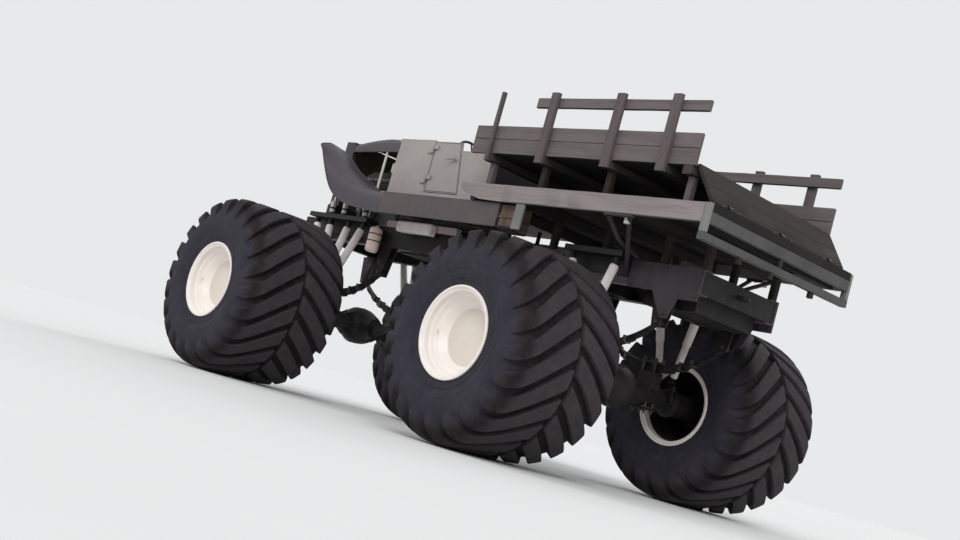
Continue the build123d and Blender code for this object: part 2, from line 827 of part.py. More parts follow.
def make_deck():
    span = (at(deck_rear), at(deck_front))
    inner = deck_half_width - sill_thickness
    floor = box(span, (-inner, inner), (deck_top - deck_thickness, deck_top))
    hinge_x, hinge_z = tail_foot
    hinge_span = (at(hinge_x) - tail_lug_half, at(hinge_x) + tail_lug_half)
    bore = rod((at(hinge_x), -inner, hinge_z), (at(hinge_x), inner, hinge_z), pin_bore(tail_pin_radius))
    lugs = []
    for y in tail_lugs:
        lug_y = (y - tail_lug_width / 2, y + tail_lug_width / 2)
        lug = box(hinge_span, lug_y, (deck_top, hinge_z + tail_lug_rise))
        lugs.append(lug - bore)
    write("deck", fused([floor, *lugs]))
    bearer_top = deck_top - deck_thickness
    bearer_low = bearer_top - bearer_height
    beams, posts = [], []
    for x in bearers:
        beam_x = (at(x) - bearer_width / 2, at(x) + bearer_width / 2)
        beams.append(box(beam_x, (-inner, inner), (bearer_low, bearer_top)))
    post_y = (rail_out - post_half, rail_out + post_half)
    for x in bearers[1:]:
        posts += both_sides(box((at(x) - post_half, at(x) + post_half), post_y, (rail_top, bearer_low)))
    posts += both_sides(box((at(rail_rear), at(rail_rear) + 2 * post_half), post_y, (rail_top, bearer_top)))
    write("deck_bearers", *beams, *posts)
    sill_rear = at(deck_rear) + tail_rail_size + seat_gap
    sill = box((sill_rear, at(sill_front)), (inner, deck_half_width), (sill_bottom, deck_top))
    write("deck_sills", *both_sides(sill))
    face = rail_out + rail_width / 2
    pad_y = (rail_out, face)
    pad = box(between(brace_pad_x), pad_y, (rail_top, rail_top + brace_pad_wall))
    bracket_z = (sill_bottom - brace_bracket_wall, sill_bottom)
    bracket = box(between(brace_bracket_x), (inner, deck_half_width), bracket_z)
    upper, lower = [[(at(x), y, z) for x, y, z in route] for route in brace_routes]
    over = box((at(rail_rear), at(0)), (0, deck_half_width), (rail_top, sill_bottom))
    lip_face = face + shock_lip_wall + seat_gap
    beside = box((at(rail_rear), at(0)), (lip_face, deck_half_width), (rail_bottom, sill_bottom))
    arms = [rod(start, end, brace_radius, 8) & over for start, end in zip(upper, upper[1:])]
    arms.append(rod(*lower, brace_radius, 8) & beside)
    write("deck_braces", *both_sides(fused([pad, bracket, *arms])))


def make_rack():
    outer = deck_half_width - stake_depth
    inner = outer - board_thickness
    beam_top = rack_bottom + rack_beam_height
    side = []
    for height, reach in ((side_board, side_board_x), (top_rail, top_rail_x)):
        side.append(box(between(reach), (inner, outer), height))
    for x in stake_x:
        stake = (at(x) - stake_width / 2, at(x) + stake_width / 2)
        side.append(box(stake, (outer, deck_half_width), (rack_bottom, stake_top)))
    post = (at(front_post_x) - front_post_width / 2, at(front_post_x) + front_post_width / 2)
    side.append(box(post, (outer, outer + front_post_width), (rack_bottom, front_post_top)))
    left, right = both_sides(fused(side))
    beams, legs = [], []
    for x in rack_beam_x:
        beams.append(box((at(x) - rack_beam_half, at(x) + rack_beam_half), (-outer, outer), (rack_bottom, beam_top)))
    for x in rack_leg_x:
        legs += both_sides(box((at(x) - post_half, at(x) + post_half), rack_leg_y, (deck_top, rack_bottom)))
    write("rack_frame", *beams, *legs)
    head_x = (at(front_post_x) - board_thickness / 2, at(front_post_x) + board_thickness / 2)
    write("rack_sides", left, right, box(head_x, (-inner, inner), side_board))
    floor_half = inner - seat_gap
    floor_x = (at(rack_floor_rear), head_x[0] - seat_gap)
    write("rack_floor", box(floor_x, (-floor_half, floor_half), (beam_top, beam_top + rack_floor_thickness)))


def make_tail():
    top, foot = [Vector(at(x), 0, z) for x, z in (tail_top, tail_foot)]
    along = (top - foot).normalized()
    plane = Plane(origin=foot, x_dir=(0, 1, 0), z_dir=along)
    half = deck_half_width - stake_depth - board_thickness - tail_clearance
    upright = (Align.CENTER, Align.CENTER, Align.MIN)
    board = plane * Box(2 * half, tail_board_thickness, (top - foot).length, align=upright)
    pin = rod((foot.X, -half, foot.Z), (foot.X, half, foot.Z), tail_pin_radius)
    for y in tail_lugs:
        reach = tail_lug_width / 2 + tail_clearance
        board -= Pos(foot.X, y, foot.Z) * Box(tail_notch, 2 * reach, tail_notch)
    write("tail_board", fused([board, pin]))
    rail_low = sill_bottom - tail_rail_drop - tail_rail_size / 2
    rail_high = rail_low + tail_rail_size
    inner = deck_half_width - sill_thickness + seat_gap
    deep = (at(deck_rear), at(deck_rear) + tail_rail_size)
    beam_x = (at(deck_rear), at(deck_rear) + tail_beam_width)
    lower = box(deep, (-deck_half_width, deck_half_width), (rail_low, rail_high))
    corner = box(deep, (inner, deck_half_width), (rail_high, deck_top))
    beam = box(beam_x, (-inner, inner), (sill_bottom, deck_top - deck_thickness - seat_gap))
    web = box(beam_x, (-tail_web_half, tail_web_half), (rail_high, sill_bottom))
    irons = [box(beam_x, (y - tail_iron_half, y + tail_iron_half), (rail_low - tail_iron_height, rail_low))
             for y in tail_iron_y]
    write("tail_frame", fused([lower, *both_sides(corner), beam, web, *irons]))


# Cab and front

def hinge_barrel(x, z):
    """The door's half of a lift-off hinge: a strap, a barrel and the pin below it."""
    y = cab_out + hinge_offset
    barrel = rod((x, y, z), (x, y, z + hinge_height), hinge_radius, 8)
    pin = rod((x, y, z - hinge_height + hinge_pin_short), (x, y, z), hinge_pin_radius)
    pad = box((x - hinge_strap, x - hinge_strap_near), (cab_out, y), (z, z + hinge_height))
    strap = box((x - hinge_strap, x), (y - hinge_strap_wall, y), (z, z + hinge_height))
    return fused([barrel, pin, pad, strap])


def hinge_ring(x, z):
    """The cowl's half, bored for the pin."""
    y = cab_out + hinge_offset
    top = z - seat_gap
    ring = rod((x, y, z - hinge_height), (x, y, top), hinge_radius, 8)
    strap = box((x + hinge_radius * 2 / 3, x + hinge_strap), (cab_out, y), (z - hinge_height, top))
    bore = rod((x, y, z - 2 * hinge_height), (x, y, z + hinge_height), pin_bore(hinge_pin_radius))
    return fused([ring, strap]) - bore


def make_cab():
    inner = cab_out - cab_wall
    floor_top = cab_floor + cab_floor_wall
    floor = box((at(quarter_rear), at(cowl_front)), (-cab_out, cab_out), (cab_floor, floor_top))
    back = box((at(quarter_rear), at(quarter_rear) + cab_wall), (-inner, inner), (floor_top, quarter_top))
    quarter_high = quarter_front + quarter_lean
    quarter_outline = (
        (quarter_rear, floor_top), (quarter_front, floor_top),
        (quarter_high, quarter_top), (quarter_rear, quarter_top),
    )
    quarter = side_slab([(at(x), z) for x, z in quarter_outline], inner, cab_out)
    write("cab_tub", fused([floor, back, *both_sides(quarter)]))
    cowl_high, cowl_low = [cowl_rear - step for step in cowl_step]
    cowl_outline = (
        (cowl_front, floor_top), (cowl_front, cowl_top), (cowl_high, cowl_top), (cowl_low, floor_top),
    )
    side = side_slab([(at(x), z) for x, z in cowl_outline], inner, cab_out)
    firewall_in = at(cowl_front) - firewall_wall
    firewall = box((firewall_in, at(cowl_front)), (-inner, inner), (floor_top, cowl_top - cab_wall))
    scuttle = box((at(cowl_high), at(cowl_front)), (-inner, inner), (cowl_top - cab_wall, cowl_top))
    hinge_x = at(cowl_rear) - hinge_setback
    rings = [hinge_ring(hinge_x, z) for z in door_hinges]
    write("cowl", fused([firewall, scuttle, *both_sides(fused([side, *rings]))]))

    door_high = cowl_top - door_top_gap
    door_outline = (
        (quarter_front + door_gap + door_foot_gap, door_low), (cowl_low - door_gap, door_low),
        (cowl_high - door_gap, door_high), (quarter_high + door_gap + door_lean, door_high),
    )
    door = side_slab([(at(x), z) for x, z in door_outline], inner, cab_out)
    door = fused([door, *[hinge_barrel(hinge_x, z) for z in door_hinges]])
    for name, piece in zip(("door_left", "door_right"), both_sides(door)):
        write(name, piece)

    seat_top = floor_top + seat_rise
    cushion = box(between(cushion_x), (-seat_half, seat_half), (floor_top, seat_top))
    rear, high, low = [at(x) for x in backrest_x]
    back_outline = (
        (rear, seat_top), (low, seat_top), (high, seat_top + backrest_rise), (rear, seat_top + backrest_rise),
    )
    back_pad = side_slab(back_outline, -seat_half, seat_half)
    write("bench_seat", fused([cushion, back_pad]))

    top, foot = [Vector(at(x), column_out, z) for x, z in (column_top, column_foot)]
    axis = (top - foot).normalized()
    slope = (1 - axis.X ** 2) ** 0.5
    reach = (firewall_in - seat_gap - column_radius * slope - foot.X) / -axis.X
    column = rod(foot - axis * reach, top, column_radius)
    hub_plane = Plane(origin=top, z_dir=axis)
    large, small = [RegularPolygon(radius, steering_sides) for radius in steering_radii]
    ring = hub_plane * extrude(large - small, steering_depth)
    spoke_length = sum(steering_radii) - cab_wall / 2
    on_hub = (Align.CENTER, Align.CENTER, Align.MIN)
    spokes = [hub_plane * Box(*size, align=on_hub) for size in ((spoke_length, spoke_width, spoke_depth),
                                                                (spoke_width, spoke_length, spoke_depth))]
    write("steering_wheel", fused([column, ring, *spokes]))


def make_front():
    sections = []
    for x, half, low, shoulder, crown in hood_rows:
        fold, within = half - hood_fold, half - hood_wall
        outer = [(half, low), (half, shoulder), (fold, crown)]
        inner = [(fold, crown - hood_wall), (within, shoulder - hood_wall), (within, low)]
        left = [(-y, z) for y, z in outer]
        under = [(-y, z) for y, z in reversed(inner)]
        sections.append([(at(x), y, z) for y, z in (*left, *outer[::-1], *inner[::-1], *under[::-1])])
    write("hood", skinned(sections))
    shell_half = radiator_half_width + radiator_frame
    window_y = (-radiator_half_width, radiator_half_width)
    window_z = (radiator_bottom + radiator_frame, radiator_top - radiator_frame_top)
    face = at(radiator_front)
    shell = box((at(hood_front) + seat_gap, face), (-shell_half, shell_half), (radiator_bottom, radiator_top))
    window = box((at(hood_front), face + 1), window_y, window_z)
    spacing = 2 * radiator_half_width / (grille_bars + 1)
    bars = []
    for n in range(1, grille_bars + 1):
        y = n * spacing - radiator_half_width
        bar_y = (y - grille_bar_width / 2, y + grille_bar_width / 2)
        bars.append(box((face - grille_bar_depth[0], face - grille_bar_depth[1]), bar_y, window_z))
    write("radiator_shell", fused([shell - window, *bars]))
    write("radiator_core", box((at(hood_front) + core_inset[0], face - core_inset[1]), window_y, window_z))
    low_x, high_x = at(lamp_x[0]), at(lamp_x[1])
    bowl = rod((low_x, lamp_out, lamp_height), (high_x, lamp_out, lamp_height), lamp_radius, 18)
    mid_x = (low_x + high_x) / 2
    post = rod((mid_x, lamp_out, rail_top), (mid_x, lamp_out, lamp_height), lamp_post_radius, 8)
    write("headlamps", *both_sides(fused([bowl, post])))


# Fenders and sides

def fender_place(row, y):
    """Where a row of the fender stands at one Y between its inner edge and its outer one."""
    outer_x, inner_x = row[:2]
    return at(outer_x + (inner_x - outer_x) * (fender_out - y) / (fender_out - fender_in))


def fender_height(x, y):
    """The top of the fender over a point inside its crown."""
    share = (y - fender_in) / (fender_crown - fender_in)
    line = [(fender_place(row, y), row[5] + share * (row[4] - row[5])) for row in fender_rows]
    for (near, near_z), (far, far_z) in zip(line, line[1:]):
        if near <= x <= far:
            return near_z + (far_z - near_z) * (x - near) / (far - near)


def make_fender():
    """The left front fender: a crowned sheet with a deep outer side, and a stay down to the damper shelf."""
    sections = []
    for row in fender_rows:
        low, shoulder, crown, inner = row[2:]
        within = fender_out - fender_wall
        skin = [(fender_out, low), (fender_out, shoulder), (fender_crown, crown), (fender_in, inner)]
        skin += [(fender_in, inner - fender_wall), (fender_crown, crown - fender_wall)]
        skin += [(within, shoulder - fender_wall), (within, low)]
        sections.append([(fender_place(row, y), y, z) for y, z in skin])
    stay_x = [at(x) for x in fender_stay_x]
    top = min(fender_height(x, y) for x in stay_x for y in fender_stay_y) - seat_gap
    return fused([skinned(sections), box(stay_x, fender_stay_y, (shock_shelf_top + seat_gap, top))])


def make_sides():
    write("fenders", *both_sides(make_fender()))
    span = between(apron_x)
    top = box(span, (apron_in, fender_out), (apron_top - apron_wall, apron_top))
    skirt = box(span, (fender_out - apron_wall, fender_out), (apron_bottom, apron_top - apron_wall))
    write("running_boards", *both_sides(fused([top, skirt])))
    half_y, half_z = side_bar_half
    bar_y = (side_bar_out - half_y, side_bar_out + half_y)
    side_bar = box(between(side_bar_x), bar_y, (side_bar_height - half_z, side_bar_height + half_z))
    half_x, drop, rise = side_bar_arm
    arm_y = (rail_out + rail_width / 2, side_bar_out - half_y)
    arm_z = (side_bar_height - drop, side_bar_height + rise)
    arms = [box((at(x) - half_x, at(x) + half_x), arm_y, arm_z) for x in side_bar_arms]
    write("side_bars", *both_sides(fused([side_bar, *arms])))


def main():
    os.makedirs("parts", exist_ok=True)
    make_wheels()
    make_axles()
    make_springs()
    make_shocks()
    make_frame()
    make_drive()
    make_engine()
    make_deck()
    make_rack()
    make_tail()
    make_cab()
    make_front()
    make_sides()


main()
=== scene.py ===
"""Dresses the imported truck: a procedural material for every part, and the detail that the plain solids lack.

Shapes are in millimetres: +X forward and counted from the rear axle, +Y to the truck's left, +Z up. Their
meshes are in metres, in the model's own frame. Materials, lamps and the camera are in metres too.
"""

import json
import random
from itertools import product
from math import atan2, cos, pi, radians, sin
from operator import mul

import bmesh
import bpy
from mathutils import Matrix, Vector, noise


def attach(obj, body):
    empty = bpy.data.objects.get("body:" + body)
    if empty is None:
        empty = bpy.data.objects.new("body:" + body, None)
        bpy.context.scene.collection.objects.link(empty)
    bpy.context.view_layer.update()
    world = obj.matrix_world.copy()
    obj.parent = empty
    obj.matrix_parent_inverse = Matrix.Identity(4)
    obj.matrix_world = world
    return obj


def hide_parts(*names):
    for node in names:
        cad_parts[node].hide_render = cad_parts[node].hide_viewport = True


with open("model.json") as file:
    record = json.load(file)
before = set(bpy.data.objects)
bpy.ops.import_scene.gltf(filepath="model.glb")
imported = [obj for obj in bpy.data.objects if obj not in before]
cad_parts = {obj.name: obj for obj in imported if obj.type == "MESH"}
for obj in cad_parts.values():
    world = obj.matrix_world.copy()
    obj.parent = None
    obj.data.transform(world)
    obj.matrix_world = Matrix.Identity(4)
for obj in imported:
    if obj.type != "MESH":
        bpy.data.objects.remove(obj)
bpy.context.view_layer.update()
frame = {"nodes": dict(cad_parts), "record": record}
rng = random.Random(4)

MM = 0.001
FORWARD, LEFT, UP = Vector((1, 0, 0)), Vector((0, 1, 0)), Vector((0, 0, 1))
SIDES = (("left", 1), ("right", -1))
WHEELBASE = 3568
HALF_TRACK = 1356
TYRE_R = 838
# The frame rails' middle, outer side and top
RAIL_OUT, RAIL_SIDE, RAIL_TOP = 450, 500, 1820
# The springs' eyes: how high, how far from the axle, and how far above the bow's lowest point
SPRING_EYE, SPRING_HALF, SPRING_RISE = 1372, 700, 250
KING_PIN = 950
DECK_TOP, DECK_HALF, DECK_REAR, DECK_FRONT = 2220, 1000, -1350, 1420
# The rear axle's place when X = 0 lies midway between the deck's rear end and the front of the tyres
REAR = -(DECK_REAR + WHEELBASE + TYRE_R) / 2
SILL_LOW = 2070
CAB_FLOOR, CAB_HALF, CAB_REAR, CAB_FRONT = 2150, 600, 1480, 2950
# The outer side of the fenders and the running boards
BODY_OUT = 950


# Materials

class Nodes:
    """A node tree, and the methods that add nodes to it."""

    def __init__(self, tree):
        self.tree = tree

    def add(self, kind, inputs=None, **settings):
        node = self.tree.nodes.new(kind)
        for key, value in settings.items():
            setattr(node, key, value)
        for key, value in (inputs or {}).items():
            self.fill(node.inputs[key], value)
        return node

    def fill(self, socket, value):
        if isinstance(value, bpy.types.NodeSocket):
            self.tree.links.new(value, socket)
        else:
            socket.default_value = (*value, 1) if socket.type == "RGBA" else value

    def calc(self, kind, a, b=0.0):
        return self.add("ShaderNodeMath", {0: a, 1: b}, operation=kind).outputs[0]


class Look(Nodes):
    """A procedural material around one shader. Its methods give back sockets."""

    def __init__(self, name, roughness=0.6, metallic=0.0, **values):
        self.material = bpy.data.materials.new(name)
        self.material.use_nodes = True
        super().__init__(self.material.node_tree)
        self.shader = self.tree.nodes["Principled BSDF"]
        for key, value in {"Roughness": roughness, "Metallic": metallic, **values}.items():
            self.set(key, value)
        self.position = self.add("ShaderNodeTexCoord").outputs["Object"]

    def set(self, key, value):
        self.fill(self.shader.inputs[key], value)

    def stretched(self, x, y, z):
        return self.add("ShaderNodeMapping", {"Vector": self.position, "Scale": (x, y, z)}).outputs[0]

    def noise(self, scale, detail=4.0, roughness=0.55, vector=None, distortion=0.0):
        inputs = {"Vector": vector or self.position, "Scale": scale, "Detail": detail, "Roughness": roughness,
                  "Distortion": distortion}
        return self.add("ShaderNodeTexNoise", inputs).outputs["Fac"]

    def span(self, value, low, high, to_low=0.0, to_high=1.0):
        inputs = {"Value": value, "From Min": low, "From Max": high, "To Min": to_low, "To Max": to_high}
        return self.add("ShaderNodeMapRange", inputs, interpolation_type="SMOOTHSTEP").outputs[0]

    def axis(self, letter, vector=None):
        return self.add("ShaderNodeSeparateXYZ", {0: vector or self.position}).outputs[letter]

    def upward(self):
        return self.axis("Z", self.add("ShaderNodeNewGeometry").outputs["Normal"])

    def from_axle(self):
        """The distance from the Y axis."""
        squares = [self.calc("MULTIPLY", place, place) for place in (self.axis("X"), self.axis("Z"))]
        return self.calc("SQRT", self.calc("ADD", *squares))

    def share(self, value, part):
        return self.calc("MULTIPLY", value, part)

    def mix(self, share, low, high):
        return self.add("ShaderNodeMix", {0: share, 6: low, 7: high}, data_type="RGBA").outputs[2]

    def bump(self, height, distance, strength, under=None):
        inputs = {"Height": height, "Distance": distance, "Strength": strength}
        if under:
            inputs["Normal"] = under
        return self.add("ShaderNodeBump", inputs).outputs[0]


def srgb(*levels):
    """A colour as it looks on a screen, 0 to 255, as the renderer wants it."""
    return tuple(((v / 255 + 0.055) / 1.055) ** 2.4 if v > 10 else v / 3294 for v in levels)


def darker(colour, share):
    return tuple(c * share for c in colour)


DUST = srgb(122, 108, 92)
RUST = srgb(96, 58, 36)
SHADE_ALONG_X = srgb(22, 17, 17)
UNDERSIDE_SHADE = srgb(20, 17, 17)


def painted(name, colour, faded, roughness, dust, rust, gloss=0.3, streaked=0.55, shade_span=None):
    """Old paint: faded patches, streaks down the sides, dust on top, chips down to rust, and painted shade
    along X.
    """
    look = Look(name, **{"Specular IOR Level": gloss})
    body = look.mix(look.span(look.noise(2.2, 5), 0.38, 0.68), srgb(*colour), srgb(*faded))
    streaks = look.noise(6, 6, 0.6, look.stretched(3.2, 3.2, 0.35))
    body = look.mix(look.share(look.span(streaks, 0.48, 0.75), streaked), body, darker(srgb(*colour), 0.55))
    spots = look.noise(38, 5, 0.65)
    chips = look.span(look.calc("ADD", spots, look.share(look.noise(3.1, 3), 0.5)), 0.93, 0.99)
    body = look.mix(look.share(chips, rust), body, RUST)
    if shade_span:
        # Darker forward along X: painted shade from the cab
        body = look.mix(look.span(look.axis("X"), *shade_span), body, SHADE_ALONG_X)
    lying = look.calc("ADD", look.share(look.span(look.upward(), 0.3, 0.95), 0.7), 0.3)
    powder = look.share(lying, look.span(look.noise(9, 6, 0.7), 0.35, 0.75, 0.2, 1.0))
    powder = look.share(powder, dust)
    look.set("Base Color", look.mix(powder, body, DUST))
    look.set("Roughness", look.span(powder, 0.0, 0.5, roughness, min(roughness + 0.3, 0.95)))
    ripple = look.bump(look.noise(4, 2), 0.004, 0.25)
    look.set("Normal", look.bump(look.calc("ADD", look.share(spots, 0.3), chips), 0.0006, 0.5, ripple))
    return look.material


def wood(name, pale, dark, grain, wear=0.5, underside_shade=0.9):
    """Bare weathered boards with their grain along X, Y or Z, and painted shade on their undersides."""
    look = Look(name, 0.85, **{"Specular IOR Level": 0.25})
    dark = srgb(*dark)

    def grained(along, across):
        return look.stretched(*[along if letter == grain else across for letter in "XYZ"])

    rings = look.noise(1.6, 6, 0.6, grained(0.55, 9), 0.8)
    fibres = look.noise(1.0, 5, 0.65, grained(2.4, 70))
    shade = look.calc("ADD", look.share(rings, 0.75), look.share(fibres, 0.35))
    body = look.mix(look.span(shade, 0.36, 0.72), dark, srgb(*pale))
    tone = look.add("ShaderNodeAttribute", attribute_name="tone").outputs["Fac"]
    body = look.mix(look.share(look.span(tone, 0.0, 1.0, 1.0, 0.0), 0.5 * wear), body, darker(dark, 0.6))
    stains = look.span(look.noise(2.7, 4, 0.6), 0.55, 0.72)
    body = look.mix(look.share(stains, 0.5 * wear), body, darker(dark, 0.5))
    cracks = look.span(look.noise(1.0, 3, 0.5, grained(1.92, 56)), 0.64, 0.7)
    body = look.mix(look.share(cracks, wear), body, darker(dark, 0.25))
    # Faces that look down turn darker: painted shade under the boards
    below = look.share(look.span(look.upward(), -0.3, -0.8), underside_shade)
    look.set("Base Color", look.mix(below, body, UNDERSIDE_SHADE))
    look.set("Normal", look.bump(look.calc("SUBTRACT", shade, cracks), 0.0022, 0.7))
    return look.material


def metal(name, colour, roughness, grime, metallic):
    look = Look(name, roughness, metallic)
    dirt = look.share(look.span(look.noise(9, 6, 0.65), 0.4, 0.7), grime)
    look.set("Base Color", look.mix(dirt, srgb(*colour), darker(srgb(*colour), 0.35)))
    look.set("Roughness", look.span(look.noise(14, 5), 0.3, 0.7, roughness, min(1.0, roughness + 0.3)))
    look.set("Normal", look.bump(look.noise(55, 4), 0.0005, 0.4))
    return look.material


def rubber():
    look = Look("tyre_rubber_look", 0.85, **{"Specular IOR Level": 0.22})
    radius = look.from_axle()
    tread = look.span(radius, 0.66, 0.76)
    body = look.mix(look.span(look.noise(3, 5, 0.6), 0.35, 0.7), srgb(44, 42, 51), srgb(51, 48, 57))
    cake = look.share(tread, look.span(look.noise(7, 6, 0.7), 0.3, 0.7, 0.25, 0.75))
    body = look.mix(cake, body, srgb(64, 57, 55))
    # Darker low in the tread, between the lugs: painted shade in the grooves
    deep = look.share(look.span(radius, 0.832, 0.785), tread)
    body = look.mix(look.share(deep, 0.85), body, srgb(22, 19, 20))
    film = look.share(look.span(look.noise(16, 5, 0.6), 0.4, 0.7), 0.10)
    look.set("Base Color", look.mix(film, body, srgb(96, 92, 96)))
    grain = look.bump(look.noise(120, 4, 0.6), 0.0008, 0.3)
    scars = look.bump(look.share(look.noise(30, 6, 0.7), tread), 0.003, 0.5, grain)
    fine = look.calc("SINE", look.share(radius, 900.0))
    band = look.share(look.span(radius, 0.40, 0.405), look.span(radius, 0.445, 0.44))
    look.set("Normal", look.bump(look.share(fine, band), 0.0015, 0.6, scars))
    return look.material


def rim_paint():
    """White paint on the rim and cream on its disc, with a little dust and a few scuffs on the lip."""
    look = Look("wheel_paint_look", 0.4, **{"Coat Weight": 0.15, "Coat Roughness": 0.3})
    radius = look.from_axle()
    body = look.mix(look.span(radius, 0.222, 0.226), srgb(224, 214, 203), srgb(240, 232, 225))
    film = look.share(look.span(look.noise(5, 5, 0.6), 0.42, 0.75), 0.16)
    body = look.mix(film, body, srgb(190, 180, 168))
    scuffs = look.share(look.span(look.noise(42, 5, 0.7), 0.68, 0.72), look.span(radius, 0.335, 0.36))
    look.set("Base Color", look.mix(look.share(scuffs, 0.4), body, srgb(110, 100, 90)))
    look.set("Normal", look.bump(look.noise(60, 4), 0.0003, 0.25))
    return look.material


def leather():
    look = Look("seat_leather_look", 0.55)
    body = look.mix(look.span(look.noise(6, 5), 0.35, 0.7), srgb(58, 44, 36), srgb(72, 56, 45))
    worn = look.share(look.span(look.upward(), 0.6, 1.0), look.span(look.noise(12, 5), 0.45, 0.7))
    look.set("Base Color", look.mix(look.share(worn, 0.25), body, srgb(112, 90, 74)))
    pores = look.add("ShaderNodeTexVoronoi", {"Vector": look.position, "Scale": 160}).outputs["Distance"]
    look.set("Normal", look.bump(pores, 0.0008, 0.5, look.bump(look.noise(10, 5), 0.004, 0.4)))
    return look.material


def glass():
    look = Look("lamp_glass_look", 0.08, **{"IOR": 1.5})
    look.set("Base Color", srgb(214, 220, 222))
    ribs = look.calc("SINE", look.share(look.axis("Y"), 260.0))
    look.set("Normal", look.bump(ribs, 0.001, 0.5))
    return look.material


# Where the painted shade on the frame rails begins, below the cab's rear, and where it covers them
RAIL_SHADE_SPAN = ((REAR + 1000) * MM, (REAR + 1500) * MM)
# Colour, faded colour, roughness, dust, rust, gloss, streaks, painted shade along X
PAINTS = {
    "axle": ((26, 25, 28), (36, 34, 36), 0.5, 0.3, 0.4, 0.2),
    "damper": ((236, 230, 226), (224, 216, 210), 0.35, 0.08, 0.05),
    "frame": ((58, 53, 58), (66, 61, 66), 0.5, 0.15, 0.2, 0.2),
    "rail": ((74, 66, 72), (86, 77, 82), 0.5, 0.15, 0.2, 0.2, 0.55, RAIL_SHADE_SPAN),
    "bar": ((240, 229, 230), (228, 216, 217), 0.4, 0.08, 0.1),
    "side_strip": ((176, 158, 162), (160, 144, 148), 0.5, 0.1, 0.2),
    "canister": ((246, 220, 212), (238, 210, 200), 0.4, 0.08, 0.05),
    "engine": ((36, 35, 38), (50, 47, 48), 0.5, 0.4, 0.5),
    "cream": ((214, 208, 196), (200, 193, 180), 0.4, 0.2, 0.2),
    "tank": ((22, 22, 24), (32, 31, 32), 0.5, 0.25, 0.2, 0.15),
    # The dark look on the deck's rear end is painted shade
    "deck_edge": ((24, 20, 21), (32, 28, 29), 0.6, 0.15, 0.2, 0.15),
    "tail_rail": ((84, 84, 84), (72, 71, 72), 0.6, 0.15, 0.3, 0.2),
    "tail_corner": ((128, 130, 126), (114, 115, 111), 0.6, 0.15, 0.3, 0.2),
    "cab": ((150, 142, 139), (160, 152, 148), 0.5, 0.1, 0.2, 0.3, 0.15),
    "hood": ((62, 59, 63), (71, 68, 71), 0.5, 0.15, 0.25, 0.2, 0.3),
    "fender": ((66, 62, 71), (74, 69, 76), 0.5, 0.12, 0.2, 0.2, 0.3),
    "apron": ((78, 71, 74), (87, 79, 79), 0.5, 0.15, 0.2, 0.2, 0.3),
    "black": ((24, 24, 26), (36, 35, 36), 0.5, 0.25, 0.2, 0.2),
}
# Pale and dark colour, the grain's axis, wear, painted shade below
WOODS = {
    "deck": ((112, 103, 97), (76, 68, 63), "X"),
    # Dark wood for the beams under the deck, darkened further as painted shade
    "deck_beam": ((62, 55, 53), (40, 35, 34), "Y"),
    "step_box": ((112, 92, 84), (82, 66, 60), "Z", 0.3),
    "sill": ((148, 140, 138), (128, 120, 118), "X", 0.2, 0.5),
    "rack": ((112, 103, 103), (98, 90, 90), "X", 0.2),
    # The rack floor's dark colour is painted shade under the rack
    "rack_floor": ((50, 43, 42), (34, 29, 28), "X"),
    "stake": ((102, 92, 94), (86, 77, 78), "Z", 0.25),
    "rack_beam": ((78, 70, 69), (56, 50, 49), "Y", 0.4),
    "tail_board": ((54, 47, 43), (42, 36, 33), "Y", 0.2),
}
# Colour, roughness, grime, how metallic
METALS = {
    "spring": ((50, 46, 46), 0.5, 0.7, 0.7),
    "drive": ((70, 68, 68), 0.5, 0.8, 0.7),
    "engine_cover": ((88, 86, 88), 0.35, 0.5, 0.9),
    "exhaust": ((150, 138, 122), 0.4, 0.5, 0.8),
    "exhaust_pipe": ((44, 36, 34), 0.55, 0.6, 0.6),
    "core": ((84, 72, 56), 0.6, 0.6, 0.6),
    "chrome": ((190, 190, 190), 0.2, 0.35, 1.0),
    "bolt": ((96, 93, 91), 0.5, 0.7, 0.9),
}
LOOKS = {"tyre": rubber(), "rim": rim_paint(), "leather": leather(), "glass": glass()}
for finish, table in ((painted, PAINTS), (wood, WOODS), (metal, METALS)):
    LOOKS.update({key: finish(f"{key}_look", *row) for key, row in table.items()})
# The first look of a slot is the one that its solids wear, unless NODE_LOOKS names another
SLOT_LOOKS = {
    "tyre_rubber": ["tyre"], "wheel_paint": ["rim"], "axle_paint": ["axle"], "spring_steel": ["spring"],
    "damper_paint": ["damper"], "frame_paint": ["frame", "rail", "side_strip", "bolt"],
    "drive_steel": ["drive"], "bar_steel": ["bar", "canister"],
    "engine_paint": ["engine", "engine_cover", "exhaust", "exhaust_pipe", "cream"], "tank_paint": ["tank"],
    "deck_wood": ["deck", "deck_edge", "step_box", "deck_beam"],
    "sill_wood": ["sill", "tail_rail", "tail_corner"],
    "rack_wood": ["rack", "rack_floor", "stake", "rack_beam"], "tail_wood": ["tail_board"],
    "cab_paint": ["cab"], "hood_paint": ["hood"], "fender_paint": ["fender", "apron"],
    "core_metal": ["core"], "lamp_metal": ["chrome", "glass"], "seat_leather": ["leather"],
    "wheel_rim_black": ["black"],
}
NODE_LOOKS = {
    "running_boards": "apron", "tail_frame": "tail_rail", "rack_frame": "rack_beam", "frame_rails": "rail",
    "exhausts": "exhaust", "hood_posts": "cream", "rack_floor": "rack_floor", "deck_bearers": "deck_beam",
    "damper_mounts": "black", "radiator_shell": "frame", "cross_members": "black",
}


def dress_nodes():
    for part in frame["record"]["subparts"]:
        materials = frame["nodes"][part["node"]].data.materials
        materials.clear()
        materials.append(LOOKS[NODE_LOOKS.get(part["node"], SLOT_LOOKS[part["material_slot"]][0])])


# Shapes

def about(centre, half):
    """The low and the high value around a centre."""
    return centre - half, centre + half


def sided(sign, near, far):
    """The low and the high value of a span on one side of zero."""
    return sorted((sign * near, sign * far))


